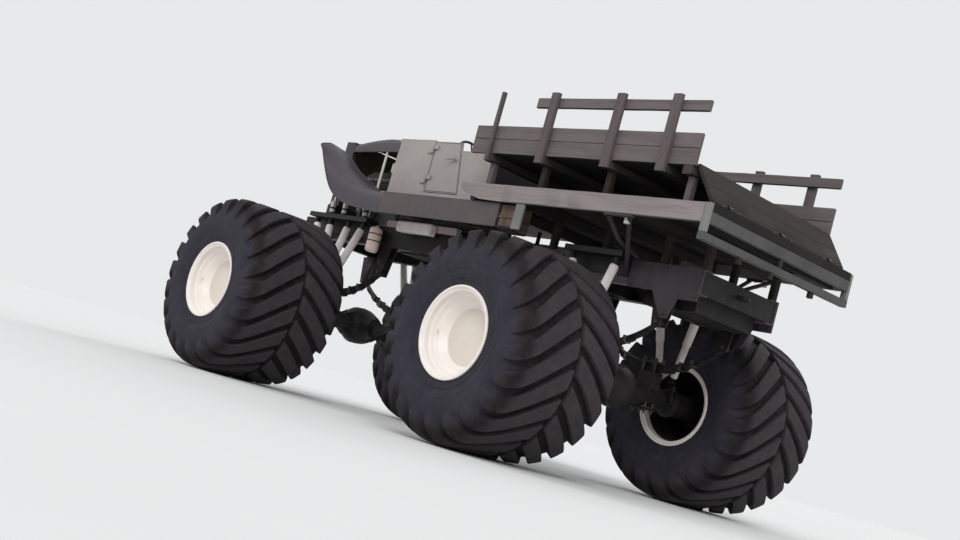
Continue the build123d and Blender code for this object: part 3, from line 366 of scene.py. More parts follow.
def mirror(half, centre=0):
    """Pairs from one end to the middle, and back out to the other end."""
    back = half[-2::-1] if half[-1][0] == 0 else half[::-1]
    return [(centre - a, b) for a, b in half] + [(centre + a, b) for a, b in back]


def circle(count, radius, start=0.0):
    """Pairs evenly around a circle."""
    angles = [start + 2 * pi * n / count for n in range(count)]
    return [(radius * cos(a), radius * sin(a)) for a in angles]


def bend(first, pull, last, count):
    """The pairs after the first one, on a curve that leaves it towards pull and ends at last."""
    found = []
    for t in (k / count for k in range(1, count + 1)):
        shares = ((1 - t) ** 2, 2 * t * (1 - t), t * t)
        found.append(tuple(sum(map(mul, shares, row)) for row in zip(first, pull, last)))
    return found


def smooth_rows(rows, parts):
    """Rows between rows, on a curve through them."""
    found = []
    padded = [rows[0], *rows, rows[-1]]
    for near in zip(padded, padded[1:], padded[2:], padded[3:]):
        for t in (part / parts for part in range(parts)):
            shares = (-t + 2 * t ** 2 - t ** 3, 2 - 5 * t ** 2 + 3 * t ** 3, t + 4 * t ** 2 - 3 * t ** 3,
                      t ** 3 - t ** 2)
            found.append(tuple(sum(map(mul, shares, row)) / 2 for row in zip(*near)))
    return found + [rows[-1]]


def rolled(k, *values):
    """Three values that start with axis k's, put in the order X, Y, Z."""
    return values[-k:] + values[:-k]


def quads(rows, count, closed=False):
    """Faces between rows that all have as many points."""
    faces = []
    for n, k in product(range(rows - 1), range(count if closed else count - 1)):
        near, far, other = n * count, (n + 1) * count, (k + 1) % count
        faces.append((near + k, near + other, far + other, far + k))
    return faces


class Shape:
    """Solids and sheets gathered into one mesh, each with a tone from 0 to 1 that its material reads."""

    def __init__(self):
        self.points, self.faces, self.tones = [], [], []

    def add(self, points, faces, tone=None):
        base = len(self.points)
        self.points += [tuple(p) for p in points]
        self.faces += [tuple(base + i for i in face) for face in faces]
        self.tones += [rng.random() if tone is None else tone] * len(faces)

    def place(self, other, origin, turn, tone=None):
        self.add([origin + turn @ Vector(p) for p in other.points], other.faces, tone)

    def sheet(self, rows):
        self.add([p for row in rows for p in row], quads(len(rows), len(rows[0])), 0.5)

    def loft(self, rings, tone=None):
        """A solid through closed rings that all have as many points."""
        count = len(rings[0])
        last = count * (len(rings) - 1)
        caps = [list(range(count)), list(range(last, last + count))]
        self.add([p for ring in rings for p in ring], quads(len(rings), count, True) + caps, tone)

    def block(self, x, y, z, edge=4, tone=None, turn=None):
        """A chamfered block, each axis given as its low and high value."""
        middle = Vector([(low + high) / 2 for low, high in (x, y, z)])
        half = [(high - low) / 2 for low, high in (x, y, z)]
        edge = min(edge, *(h * 0.45 for h in half))
        corners = list(product((-1, 1), repeat=3))
        points, number = [], {}
        for signs, k in product(corners, range(3)):
            number[signs, k] = len(points)
            p = Vector([s * (h if i == k else h - edge) for i, (s, h) in enumerate(zip(signs, half))])
            points.append(middle + (turn @ p if turn else p))
        faces = [[number[signs, k] for k in range(3)] for signs in corners]
        for k in range(3):
            i, j = (k + 1) % 3, (k + 2) % 3
            for s in (-1, 1):
                faces.append([number[rolled(k, s, a, b), k] for a, b in ((-1, -1), (1, -1), (1, 1), (-1, 1))])
            for a, b in product((-1, 1), repeat=2):
                low, high = rolled(k, -1, a, b), rolled(k, 1, a, b)
                faces.append([number[low, i], number[high, i], number[high, j], number[low, j]])
        self.add(points, faces, tone)

    def plank(self, x, y, z, axis=0, tone=None, cuts=10, rough=2.5, edge=6):
        """A sawn board whose edges and faces wander a little along its length."""
        spans = [x, y, z]
        i, j = [k for k in range(3) if k != axis]
        (low_i, high_i), (low_j, high_j) = spans[i], spans[j]
        seed = rng.random() * 50
        edge = min(edge, (high_i - low_i) * 0.3, (high_j - low_j) * 0.3)
        chamfer = [(0, edge), (edge, 0), (-edge, 0), (0, edge), (0, -edge), (-edge, 0), (edge, 0), (0, -edge)]
        corner = [(0, 0), (0, 0), (1, 0), (1, 0), (1, 1), (1, 1), (0, 1), (0, 1)]
        rings = []
        for n in range(cuts + 1):
            place = spans[axis][0] + (spans[axis][1] - spans[axis][0]) * n / cuts
            along = (place + (0 if axis else REAR)) * MM * 2.3 + seed
            ring = []
            for m, ((di, dj), (high_at_i, high_at_j)) in enumerate(zip(chamfer, corner)):
                wander = [abs(noise.noise((along, m * 3.1 + k * 7, seed))) * rough for k in (0, 1)]
                p = [place] * 3
                p[i] = di + (high_i - wander[0] if high_at_i else low_i + wander[0])
                p[j] = dj + (high_j - wander[1] if high_at_j else low_j + wander[1])
                ring.append(p)
            rings.append(ring)
        self.loft(rings, tone)

    def prism(self, outline, axis, low, high, tone=None):
        """An outline in the two other axes, carried along one axis."""
        self.loft([[(*pair[:axis], place, *pair[axis:]) for pair in outline] for place in (low, high)], tone)

    def lathe(self, profile, origin, direction, sides=32, tone=None):
        """A profile of place and radius turned about a line. Zero radius closes an end."""
        origin, line = Vector(origin), Vector(direction).normalized()
        across = line.orthogonal().normalized()
        other = line.cross(across)
        points, rings, faces = [], [], []
        for place, radius in profile:
            count = sides if radius else 1
            rings.append(list(range(len(points), len(points) + count)))
            points += [origin + line * place + across * a + other * b for a, b in circle(count, radius)]
        for near, far in zip(rings, rings[1:]):
            for s in range(sides):
                t = (s + 1) % sides
                corners = [near[s % len(near)], near[t % len(near)], far[t % len(far)], far[s % len(far)]]
                face = list(dict.fromkeys(corners))
                if len(face) > 2:
                    faces.append(face)
        self.add(points, faces, tone)

    def tube(self, path, radius, sides=12, tone=None):
        """A round bar or pipe along points, with one radius or one for each point."""
        path = [Vector(p) for p in path]
        radii = radius if isinstance(radius, list) else [radius] * len(path)
        rings, across = [], None
        for n, (p, r) in enumerate(zip(path, radii)):
            run = (path[min(n + 1, len(path) - 1)] - path[max(n - 1, 0)]).normalized()
            across = across or run.orthogonal().normalized()
            across = (across - run * across.dot(run)).normalized()
            other = run.cross(across)
            rings.append([p + across * a + other * b for a, b in circle(sides, r)])
        self.loft(rings, tone)

    def bolt(self, place, direction, size=12, height=9):
        """A hexagon head on a washer."""
        washer, top, wide = height * 0.25, height * 0.85, size * 1.35
        disc = ((0, 0), (0, wide), (washer, wide), (washer, size))
        head = ((washer, size), (top, size), (height, size * 0.8), (height, 0))
        self.lathe(disc, place, direction, sides=16)
        self.lathe(head, place, direction, sides=6)

    def bolt_ring(self, centre, direction, count, radius, size, height=8, start=0.0):
        """Bolts in a circle that faces along X or Y."""
        for a, b in circle(count, radius, start):
            self.bolt(centre + Vector((0, a, b) if direction.x else (a, 0, b)), direction, size, height)

    def mirrored(self):
        """Adds the same again on the right."""
        base = len(self.points)
        self.points += [(x, -y, z) for x, y, z in self.points]
        self.faces += [tuple(base + i for i in face) for face in self.faces]
        self.tones += [(t * 1.7 + 0.3) % 1.0 for t in self.tones]
        return self

    def mesh(self, name, start=REAR):
        mesh = bpy.data.meshes.new(name)
        mesh.from_pydata([((x + start) * MM, y * MM, z * MM) for x, y, z in self.points], [], self.faces)
        mesh.attributes.new("tone", "FLOAT", "FACE").data.foreach_set("value", self.tones)
        return mesh

    def make(self, name, look, *replaces, body="root"):
        return make_piece(name, finished(self.mesh(name), look), body, replaces)


def shapes(count):
    return [Shape() for _ in range(count)]


def finished(mesh, look, sharp=35):
    """Turns a mesh's faces outward, marks its sharp edges and gives it its material."""
    work = bmesh.new()
    work.from_mesh(mesh)
    bmesh.ops.recalc_face_normals(work, faces=work.faces)
    for face in work.faces:
        face.smooth = True
    for edge in work.edges:
        edge.smooth = len(edge.link_faces) == 2 and edge.calc_face_angle(0) < radians(sharp)
    work.to_mesh(mesh)
    work.free()
    mesh.materials.append(LOOKS[look])
    return mesh


def add_object(name, data):
    found = bpy.data.objects.new(name, data)
    bpy.context.scene.collection.objects.link(found)
    return found


def make_piece(name, mesh, body="root", replaces=(), where=Matrix()):
    piece = add_object(name, mesh)
    piece.matrix_world = where
    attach(piece, body)
    if replaces:
        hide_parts(*replaces)
    return piece


# Wheels and tyres

LUGS = 22
PITCH = 360 / LUGS
# From the middle of the tread out: base out, base radius, tip out, tip radius, lag and the half widths at the
# base and at the tip in degrees, and how far the lug stands there
LUG_ENDS = (
    (0, 792, 0, 838, -0.9, 6.0, 5.1, 0.0), (13, 792, 13, 838, -0.2, 6.0, 5.1, 0.0),
    (18, 791, 21, 835, 0.0, 6.0, 5.1, 1.0),
)
LUG_ROWS = (
    (30, 791, 30, 838, 0.5, 6.0, 5.1, 1.0), (120, 789, 121, 838, 4.9, 6.0, 5.1, 1.0),
    (230, 785, 236, 837, 11.0, 6.0, 5.1, 1.0), (330, 779, 345, 832, 17.2, 5.9, 5.0, 1.0),
    (400, 769, 424, 820, 22.0, 5.7, 4.9, 1.0), (455, 741, 484, 786, 25.6, 5.5, 4.7, 1.0),
    (497, 697, 523, 734, 28.0, 5.2, 4.4, 1.0), (521, 655, 541, 684, 29.3, 4.8, 3.9, 1.0),
)
LUG_FADE = ((533, 632, 544.8, 655, 29.8, 4.4, 3.3, 0.75), (541.5, 606, 545, 628, 30.0, 4.0, 2.6, 0.0))
# Place along the axle and radius, here and in RIM and HUB
SIDEWALL = (
    (545, 580), (544.2, 550), (541, 520), (538.5, 508), (540.2, 504), (539.8, 498), (537, 494), (531, 468),
    (524.5, 446), (521, 436), (523.2, 431), (523, 424), (518.5, 417), (512, 402), (506.2, 390), (503.6, 380),
    (503.3, 360), (503, 335),
)
# From the middle of the disc out over the lips to the inner flange
RIM = (
    (343, 0), (343, 205), (340, 214), (341, 225), (350, 238), (392, 266), (401, 275), (404, 288), (413, 297),
    (440, 305), (449, 311), (454, 320), (470, 325), (494, 331), (505, 339), (512, 346), (517.5, 350),
    (518, 357), (516.5, 362.5), (511, 365.2), (505, 365), (504, 360), (503, 330), (495, 321), (-495, 321),
    (-503, 330), (-504, 360), (-505, 365), (-511, 365.2), (-516.5, 362.5), (-518, 357), (-517.5, 350),
    (-512, 346), (-505, 339), (-494, 330), (-470, 322), (-440, 317),
)
# The barrel behind the disc, dark as painted shade, then the hub and the ribbed brake drum
HUB = (
    (-440, 317), (-425, 307), (300, 306), (318, 290), (327, 250), (328, 190), (322, 186), (300, 186),
    (292, 178), (60, 176), (50, 185), (-8, 186), (-10, 190), (-10, 232), (-18, 235.5), (-24, 235.5),
    (-28, 226), (-34, 226), (-38, 235.5), (-46, 235.5), (-50, 226), (-56, 226), (-60, 235.5), (-66, 234),
    (-70, 226), (-70, 126), (-62, 122), (-62, 64),
)


def tyre_ring(side, start, lag, pattern):
    """A ring of points around the tyre: swing, place along the axle and radius, again for each lug."""
    ring = []
    for turn in range(LUGS):
        for swing, out, r in pattern:
            angle = radians(start + turn * PITCH - lag + swing)
            ring.append((-r * cos(angle), side * out, r * sin(angle)))
    return ring


def tyre_shape():
    shape = Shape()
    rows = [*LUG_ENDS, *smooth_rows(LUG_ROWS, 3), *LUG_FADE]
    for side, start in ((1, -90), (-1, -90 - PITCH / 2)):
        rings = []
        for base_out, base_r, tip_out, tip_r, lag, base_half, tip_half, stand in rows:
            wall = base_half - tip_half
            marks = ((base_half + 0.5, 0), (base_half - 0.05 * wall, 0.05), (tip_half + 0.2 * wall, 0.88),
                     (tip_half - 0.3, 1), (0, 1))
            pattern = []
            for swing, height in ((-PITCH / 2, 0), *mirror(marks)):
                up = height * stand
                r = min(base_r + up * (tip_r - base_r), TYRE_R)
                pattern.append((swing, base_out + up * (tip_out - base_out), r))
            rings.append(tyre_ring(side, start, lag, pattern))
        last_lag = rows[-1][4]
        for out, r in SIDEWALL:
            rings.append(tyre_ring(side, start, last_lag, [(swing, out, r) for swing, _, _ in pattern]))
        shape.add([p for ring in rings for p in ring], quads(len(rings), len(rings[0]), True), 0.5)
    return shape


def make_wheels():
    rim, hub = shapes(2)
    rim.lathe(RIM, (0, 0, 0), LEFT, sides=96, tone=0.5)
    rim.tube([(286, 405, 0), (262, 425, 0), (250, 452, 0)], [8, 6, 5], sides=10, tone=0.2)
    # The barrel lining wears the dark look: painted shade inside the rim
    hub.lathe(HUB, (0, 0, 0), LEFT, sides=96, tone=0.4)
    hub.bolt_ring(Vector((0, -10, 0)), -LEFT, count=10, radius=205, size=12, height=10, start=0.2)
    tyre = finished(tyre_shape().mesh("tyre", 0), "tyre", 32)
    rim = finished(rim.mesh("rim", 0), "rim", 28)
    hub = finished(hub.mesh("hub", 0), "black", 28)
    for end, x in (("front", WHEELBASE), ("rear", 0)):
        for side, sign in SIDES:
            spot = f"{end}_{side}"
            body = f"roller_{spot}"
            place = Matrix.Translation(Vector((x + REAR, sign * HALF_TRACK, TYRE_R)) * MM)
            turned = place @ Matrix.Rotation(0 if sign > 0 else pi, 4, "Z")
            make_piece(f"lugged_tyre_{spot}", tyre, body, [f"tyre_{spot}"], place)
            make_piece(f"rim_{spot}", rim, body, [f"wheel_{spot}"], turned)
            make_piece(f"hub_{spot}", hub, body, [], turned)


# Axles, springs and dampers

def make_axles():
    for end, x, towards in (("front", WHEELBASE, -FORWARD), ("rear", 0, FORWARD)):
        o = Vector((x, 0, TYRE_R))
        z = TYRE_R
        shape = Shape()
        arms = mirror(((760, 0), (760, 105), (745, 105), (735, 88), (160, 88), (135, 100)))
        middle = mirror(((190, 90), (175, 120), (130, 157), (70, 180), (0, 188)))
        shape.lathe(arms, o, LEFT, sides=40)
        shape.lathe(middle, o, LEFT, sides=48)
        cover = ((-115, 0), (-115, 115), (-108, 145), (-92, 168), (-75, 172), (-75, 187), (-50, 187),
                 (-50, 140))
        shape.lathe(cover, o, towards, sides=48)
        shape.bolt_ring(o - towards * 75.2, -towards, count=12, radius=179, size=6)
        nose = ((100, 140), (160, 120), (200, 90), (235, 84), (240, 100), (262, 100), (262, 70), (290, 64),
                (304, 64), (304, 0))
        shape.lathe(nose, o, towards, sides=36)
        shape.bolt_ring(o + towards * 262, towards, count=8, radius=85, size=8, start=pi / 8)
        for across, up in circle(6, 1):
            rib = [o + Vector((across * r, y, up * r)) for y, r in mirror(((240, 88), (150, 142)))]
            shape.tube(rib, 10, sides=8)
        pad_top = SPRING_EYE - SPRING_RISE - 70.5
        for y in (-RAIL_OUT, RAIL_OUT):
            shape.block(about(x, 90), about(y, 58), (z + 60, pad_top), edge=8)
            shape.block(about(x, 100), about(y, 62), (z - 118, z - 96), edge=6)
        for y in (-660, 660):
            for dx in (-108, 108):
                shape.block(about(x + dx, 22), about(y, 20), (z - 20, z + 146), edge=5)
            shape.block(about(x, 130), about(y, 18), (z + 60, z + 105), edge=5)
        if end == "front":
            make_yokes(x, z)
        else:
            make_carriers(o)
        shape.make(f"axle_{end}_housing", "axle", f"axle_{end}")


def make_yokes(x, z):
    """The front axle's forked ends, with the caps of their king pins."""
    shape = Shape()
    fork = mirror(((70, 785), (70, 900), (58, 960), (30, 1000), (0, 1010)), x)
    for way in (1, -1):
        low, high = sided(way, 140, 180)
        shape.prism(fork, 2, z + low, z + high)
        cap = ((0, 0), (0, 44), (10, 44), (14, 38), (14, 0))
        shape.lathe(cap, (x, KING_PIN, z + way * 180), UP * way, sides=24)
        for dx, dy in ((-25.5, -25.5), (25.5, -25.5), (25.5, 25.5), (-25.5, 25.5)):
            shape.bolt((x + dx, KING_PIN + dy, z + way * 194), UP * way, size=6, height=6)
    back = ((760, -150), (760, 150), (775, 178), (805, 178), (805, -178), (775, -178))
    shape.prism([(y, z + dz) for y, dz in back], 0, x - 70, x + 70)
    shape.mirrored().make("axle_front_yokes", "axle")


def make_carriers(o):
    """The rear axle's spindles and the flanges that carry them."""
    shape = Shape()
    spindle = ((740, 100), (755, 128), (775, 128), (790, 108), (1240, 104), (1255, 118), (1281, 119),
               (1281, 60), (1450, 60))
    shape.lathe(spindle, o, LEFT, sides=40)
    shape.bolt_ring(o + LEFT * 775, LEFT, count=12, radius=116, size=8)
    shape.mirrored().make("axle_rear_carriers", "axle")


def make_steering():
    o = Vector((WHEELBASE, 0, TYRE_R))
    barrel = mirror(((139, 0), (139, 44), (132, 48)))
    spindle = ((1015, 0), (1015, 118), (1030, 120), (1060, 120), (1075, 104), (1250, 104), (1262, 118),
               (1281, 119), (1281, 60), (1450, 60))
    # Across and ahead of the king pin
    arm = mirror(((32, 10), (32, 60), (26, 110), (26, 180), (32, 215), (26, 240), (0, 257)), KING_PIN)
    for side, sign in SIDES:
        shape = Shape()
        shape.lathe(barrel, (o.x, sign * KING_PIN, o.z), UP, sides=32)
        shape.block(about(o.x, 55), sided(sign, 955, 1035), about(o.z, 100), edge=12)
        shape.lathe(spindle, o, LEFT * sign, sides=40)
        shape.prism([(o.x + ahead, sign * y) for y, ahead in arm], 2, o.z - 17, o.z + 17)
        shape.make(f"knuckle_{side}_casting", "axle", f"knuckle_{side}", body=f"knuckle_{side}")
    shape = Shape()
    x, z = WHEELBASE + 225, TYRE_R - 60
    shape.lathe(mirror(((KING_PIN, 0), (KING_PIN, 14), (800, 14), (790, 18))), (x, 0, z), LEFT, sides=28)
    socket = ((-24, 0), (-24, 20), (-18, 27), (20, 27), (28, 24), (38, 22), (42.7, 17), (42.7, 0))
    pin = ((40, 0), (40, 13.8), (77, 13.8), (77, 20), (88, 20), (88, 0))
    for sign in (-1, 1):
        for profile in (socket, pin):
            shape.lathe(profile, (x, sign * KING_PIN, z), UP, sides=24)
        for s in (-1, 1):
            shape.lathe(((0, 14), (3, 17.8), (32, 17.8), (35, 14)), (x, sign * 830, z), LEFT * s, sides=6)
    shape.make("tie_rod_bar", "axle", "tie_rod", body="tie_rod")


def leaf_point(x, share, depth):
    """X and Z on a spring's bow: share of the way from its middle to an eye, and so deep below the bow."""
    radius = (SPRING_HALF ** 2 + SPRING_RISE ** 2) / (2 * SPRING_RISE)
    swing = 2 * atan2(SPRING_RISE, SPRING_HALF) * share
    r = radius + depth
    return x + r * sin(swing), SPRING_EYE + radius - SPRING_RISE - r * cos(swing)


def make_springs():
    leaves, clamps = shapes(2)
    steps, leaf = 28, 14
    for x in (WHEELBASE, 0):
        for n, share in enumerate((1.0, 0.84, 0.66, 0.48, 0.3)):
            rings = []
            for k in range(steps + 1):
                s = (-1 + 2 * k / steps) * share
                half = 22.4 if n and k in (0, steps) else 32
                left, right = RAIL_OUT + half, RAIL_OUT - half
                (x1, z1), (x2, z2) = leaf_point(x, s, leaf * n + 0.6), leaf_point(x, s, leaf * (n + 1) - 1.2)
                rings.append([(x1, right, z1), (x1, left, z1), (x2, left, z2), (x2, right, z2)])
            leaves.loft(rings)
        for turn in (-1, 1):
            eye = (leaf_point(x, turn, 0)[0], RAIL_OUT, SPRING_EYE - 7)
            leaves.lathe(((-32, 14), (-32, 30), (32, 30), (32, 14)), eye, LEFT, sides=24)
            clamps.lathe(mirror(((56, 0), (56, 17), (48, 18), (48, 12))), eye, LEFT, sides=6)
            for share, layers in ((0.56, 3), (0.40, 4)):
                depth = layers * leaf / 2
                cx, cz = leaf_point(x, turn * share, depth)
                clamps.block(about(cx, 16), about(RAIL_OUT, 39), (cz - depth - 4, cz + depth + 12), edge=3)
        top = SPRING_EYE - SPRING_RISE + 4
        clamps.block(about(x, 85), about(RAIL_OUT, 55), (top - 3, top + 18), edge=5)
        for dx, dy in product((-62, 62), (-47, 47)):
            bx, by = x + dx, RAIL_OUT + dy
            clamps.tube([(bx, by, TYRE_R - 150), (bx, by, top + 45)], 10)
            clamps.bolt((bx, by, top + 18), UP, size=17, height=16)
            clamps.bolt((bx, by, TYRE_R - 118), -UP, size=17, height=16)
    leaves.mirrored().make("spring_leaves", "spring", "leaf_springs")
    clamps.mirrored().make("spring_clamps", "bolt")


def make_dampers():
    tubes, ends = shapes(2)
    top_y, top_z, foot_y, foot_z = 600, 1800, 660, 994
    # Where each top and foot stands, ahead of the axle
    front = ((-420, -105), (-170, -35), (150, 35), (390, 105))
    rear = ((-250, -70), (250, 70))
    for x, table in ((WHEELBASE, front), (0, rear)):
        for top_x, foot_x in table:
            top, foot = Vector((x + top_x, top_y, top_z)), Vector((x + foot_x, foot_y, foot_z))
            line, length = (top - foot).normalized(), (top - foot).length
            step = 0.42 * length
            profile = ((60, 0), (60, 26), (70, 32), (step, 32), (step + 8, 28), (step + 10, 37),
                       (step + 18, 38), (length - 75, 38), (length - 60, 30), (length - 55, 0))
            tubes.lathe(profile, foot, line, sides=32)
            for place, way in ((foot, line), (top, -line)):
                ends.tube([place + way * 12, place + way * 75], 14)
                ends.lathe(((-22, 8), (-22, 24), (22, 24), (22, 8)), place + way * 22, LEFT, sides=20)
                ends.tube([place + way * 22 + LEFT * s for s in (-30, 30)], 9, sides=6)
    # The reservoirs on each front damper shelf: place, lean and height
    y, shelf = 622, 1857
    for x, lean, height in ((3720, 0.10, 135), (3510, 0.10, 135), (3150, 0.35, 120)):
        foot = (x, y, shelf)
        reservoir = ((12, 0), (12, 22), (16, 27), (height - 12, 27), (height - 6, 24), (height - 6, 12),
                     (height, 10), (height, 0))
        tubes.lathe(reservoir, foot, (lean, 0, 1), sides=28)
        ends.block((x - 32, x + 34), about(y, 26), (1854.5, 1874), edge=3)
        ends.lathe(((50, 27.5), (50, 31), (66, 31), (66, 27.5)), foot, (lean, 0, 1), sides=28)
    tubes.mirrored().make("damper_tubes", "damper", "dampers")
    ends.mirrored().make("damper_ends", "black")


# Frame and drive

def make_frame_detail():
    bolts, welds = shapes(2)
    # The bolts of the cross members, of the spring hangers and of the side plates
    members = (-1000, -380, 480, 1300, WHEELBASE + 690)
    for x, z, dx in product(members, (1660, 1780), (-28, 28)):
        bolts.bolt((x + dx, RAIL_SIDE, z), LEFT, size=11)
    for x, eye, dx in product((WHEELBASE, 0), (-SPRING_HALF, SPRING_HALF), (-60, 60)):
        bolts.bolt((x + eye + dx, RAIL_SIDE, 1650), LEFT, size=11)
    plate_bolts = ((-1020, 1790), (-360, 1790), (-360, 1630), (-1020, 1600), (-800, 1430), (-755, 1430),
                   (-690, 1790))
    for x, z in plate_bolts:
        bolts.bolt((x, 512, z), LEFT, size=10, height=8)
    bolts.mirrored().make("frame_bolts", "bolt")
    edge = ((-1048, 1818), (-1048, 1562), (-862, 1562), (-801, 1398), (-736, 1398), (-601, 1602),
            (-332, 1602), (-332, 1818))
    welds.tube([(x, 513, z) for x, z in edge], 4, sides=8)
    welds.mirrored().make("side_plate_edges", "frame")


def make_drive_shafts():
    shafts = Shape()
    # From the axle's nose to the transfer case, and the length of each end with its joint
    nose, case_rear, case_front, case_z, end = 305, 1480, 1800, 1490, 75
    for axle_x, case_x, towards in ((nose, case_rear, FORWARD), (WHEELBASE - nose, case_front, -FORWARD)):
        low, high = Vector((axle_x, 0, TYRE_R)), Vector((case_x, 0, case_z))
        near, far = low + towards * end, high - towards * end
        line, length = (far - near).normalized(), (far - near).length
        profile = ((20, 0), (20, 34), (70, 36), (90, 36), (length * 0.62, 36), (length * 0.62, 30),
                   (length * 0.64, 27), (length * 0.80, 27), (length * 0.80, 36), (length - 70, 36),
                   (length - 20, 34), (length - 20, 0))
        shafts.lathe(profile, near, line, sides=28)
        for place in (near, far):
            for pin in (LEFT, UP):
                shafts.lathe(((-40, 0), (-40, 16), (40, 16), (40, 0)), place, pin, sides=14)
            for s in (-1, 1):
                shafts.block(about(place.x, 20), sided(s, 26, 43), about(place.z, 20))
        for place, way in ((low, towards), (high, -towards)):
            shafts.lathe(((0.5, 0), (0.5, 52), (12, 52), (16, 36), (60, 30), (60, 0)), place, way, sides=24)
            for s in (-1, 1):
                arm = sorted((place.x + way.x * 30, place.x + way.x * 90))
                shafts.block(arm, (-20, 20), sorted((place.z + s * 26, place.z + s * 43)))
    shafts.make("drive_shafts", "drive", "driveshafts")


def make_drive():
    make_drive_shafts()
    case = Shape()
    for sign, x in product((-1, 1), (1520, 1580, 1640, 1700, 1760)):
        case.block(about(x, 6), sided(sign, 171, 183), (1430, 1670))
    for x, n, sign in product((1490, 1790), range(8), (1, -1)):
        case.bolt((x, sign * 171, 1430 + n * 34), LEFT * sign, size=7, height=6)
    for sign, x in product((-1, 1), (1950, 2200, 2450, 2700, 2950)):
        case.block(about(x, 8), sided(sign, 151, 165), (1660, 1940))
    case.lathe(((0, 0), (0, 70), (8, 70), (12, 50), (12, 0)), (1481, 0, 1620), -FORWARD, sides=24)
    case.make("transmission_ribs", "drive")
    tank = Shape()
    low, high, thick, half = 1494, 1806, 5, 384
    for x in (about(-820, 22), about(-560, 22)):
        tank.block(x, (-half, half), (low, low + thick), edge=2)
        for sign in (-1, 1):
            tank.block(x, sided(sign, 380.5, 386), (low, high), edge=2)
        tank.block(x, (-half, half), (high - thick, high), edge=2)
    tank.lathe(((0, 0), (0, 55), (20, 55), (28, 48), (28, 0)), (-690, 240, 1800), UP, sides=28)
    tank.make("fuel_cell_straps", "black")


# Deck, rack and tail

DECK_IN = DECK_HALF - 36
DECK_LOW = DECK_TOP - 60
BEARERS = (-1180, -600, 40, 650, 1250)
# The tail board's hinge line
HINGE_X, HINGE_Z = -1280, DECK_TOP + 22


def make_deck():
    planks, edge, irons, nails, beams = shapes(5)
    count, gap, start = 11, 1.5, DECK_REAR + 6
    width = 2 * DECK_IN / count
    for n in range(count):
        right, top = -DECK_IN + n * width, DECK_TOP - rng.random() * 2
        y = (right + gap, right + width - gap)
        planks.plank((start, DECK_FRONT - 1), y, (DECK_LOW, top), cuts=22, rough=4)
    planks.make("deck_planks", "deck", "deck")
    # A dark sheet over the deck's rear end and a thin strip on its top: painted shade
    edge.block((DECK_REAR, start), (-DECK_IN, DECK_IN), (DECK_LOW, DECK_TOP), edge=2)
    edge.block((DECK_REAR, -1310), (-DECK_IN, DECK_IN), (DECK_TOP, DECK_TOP + 4), edge=1.5)
    edge.make("deck_end_shade_sheet", "deck_edge")
    lug = [(x, DECK_TOP + z) for x, z in mirror(((26, -1), (26, 34), (14, 46)), HINGE_X)]
    for y in (-700, 0, 700):
        irons.prism(lug, 1, y - 22, y + 22)
        irons.block((-1255, -1100), about(y, 22), (DECK_TOP - 1, DECK_TOP + 6), edge=2)
        for x in (-1215, -1135):
            irons.bolt((x, y, DECK_TOP + 6), UP, size=9, height=7)
    irons.make("tail_board_hinges", "black")
    for x, n, share in product(BEARERS, range(count), (0.25, 0.75)):
        place = (x + rng.uniform(-8, 8), -DECK_IN + (n + share) * width, DECK_TOP - 1)
        nails.lathe(((-2, 6), (1.2, 6), (2, 4), (2, 0)), place, UP, sides=8)
    nails.make("deck_nails", "bolt")
    # The bearers and posts under the deck wear a dark look: painted shade
    for x in BEARERS:
        beams.plank(about(x, 30), (-DECK_IN, DECK_IN), (DECK_LOW - 90, DECK_LOW), axis=1, cuts=12)
    for x, y in product(BEARERS[1:], (-RAIL_OUT, RAIL_OUT)):
        beams.plank(about(x, 30), about(y, 30), (RAIL_TOP, DECK_LOW - 90), axis=2, cuts=4)
    for y in (-RAIL_OUT, RAIL_OUT):
        beams.plank((-1050, -990), about(y, 30), (RAIL_TOP, DECK_LOW), axis=2, cuts=5)
    beams.make("deck_beams", "deck_beam", "deck_bearers")
    make_sills()
    make_steps()
    make_braces()


def make_sills():
    boards, noses, heads = shapes(3)
    side, height = (DECK_IN, DECK_HALF), (SILL_LOW, DECK_TOP)
    boards.plank((-1289.7, 850), side, height, tone=0.8, cuts=26, rough=4, edge=5)
    boards.mirrored().make("sill_boards", "sill", "deck_sills")
    tip, top = DECK_FRONT - 2, DECK_TOP - 1
    taper = ((852, 2072), (852, top), (tip, top), (tip, 2162), (1320, 2118), (1150, 2080))
    noses.prism(taper, 1, DECK_IN + 0.5, DECK_IN + 22, tone=0.8)
    noses.mirrored().make("sill_noses", "sill")
    for x, dz in product(BEARERS[:-1], (35, 115)):
        heads.bolt((x, DECK_HALF - 3, SILL_LOW + dz), LEFT, size=7, height=5)
    heads.mirrored().make("sill_bolts", "sill")


def make_steps():
    step, hanger, strap = shapes(3)
    step.block((700, 893), (740, 930), (1845, 2068), edge=10, tone=0.4)
    step.block((694, 899), (734, 936), (1945, 1965), edge=3, tone=0.4)
    step.mirrored().make("step_boxes", "step_box")
    hanger.block((560, 660), (966, 990), (1850, 2070.5), edge=4, tone=0.4)
    hanger.mirrored().make("step_hangers", "tail_corner")
    strap.block((580, 880), (928.5, 966.5), (1856, 1872), edge=3, tone=0.4)
    strap.block((580, 700), (928.5, 966.5), (2020, 2036), edge=3, tone=0.4)
    strap.mirrored().make("step_straps", "black")


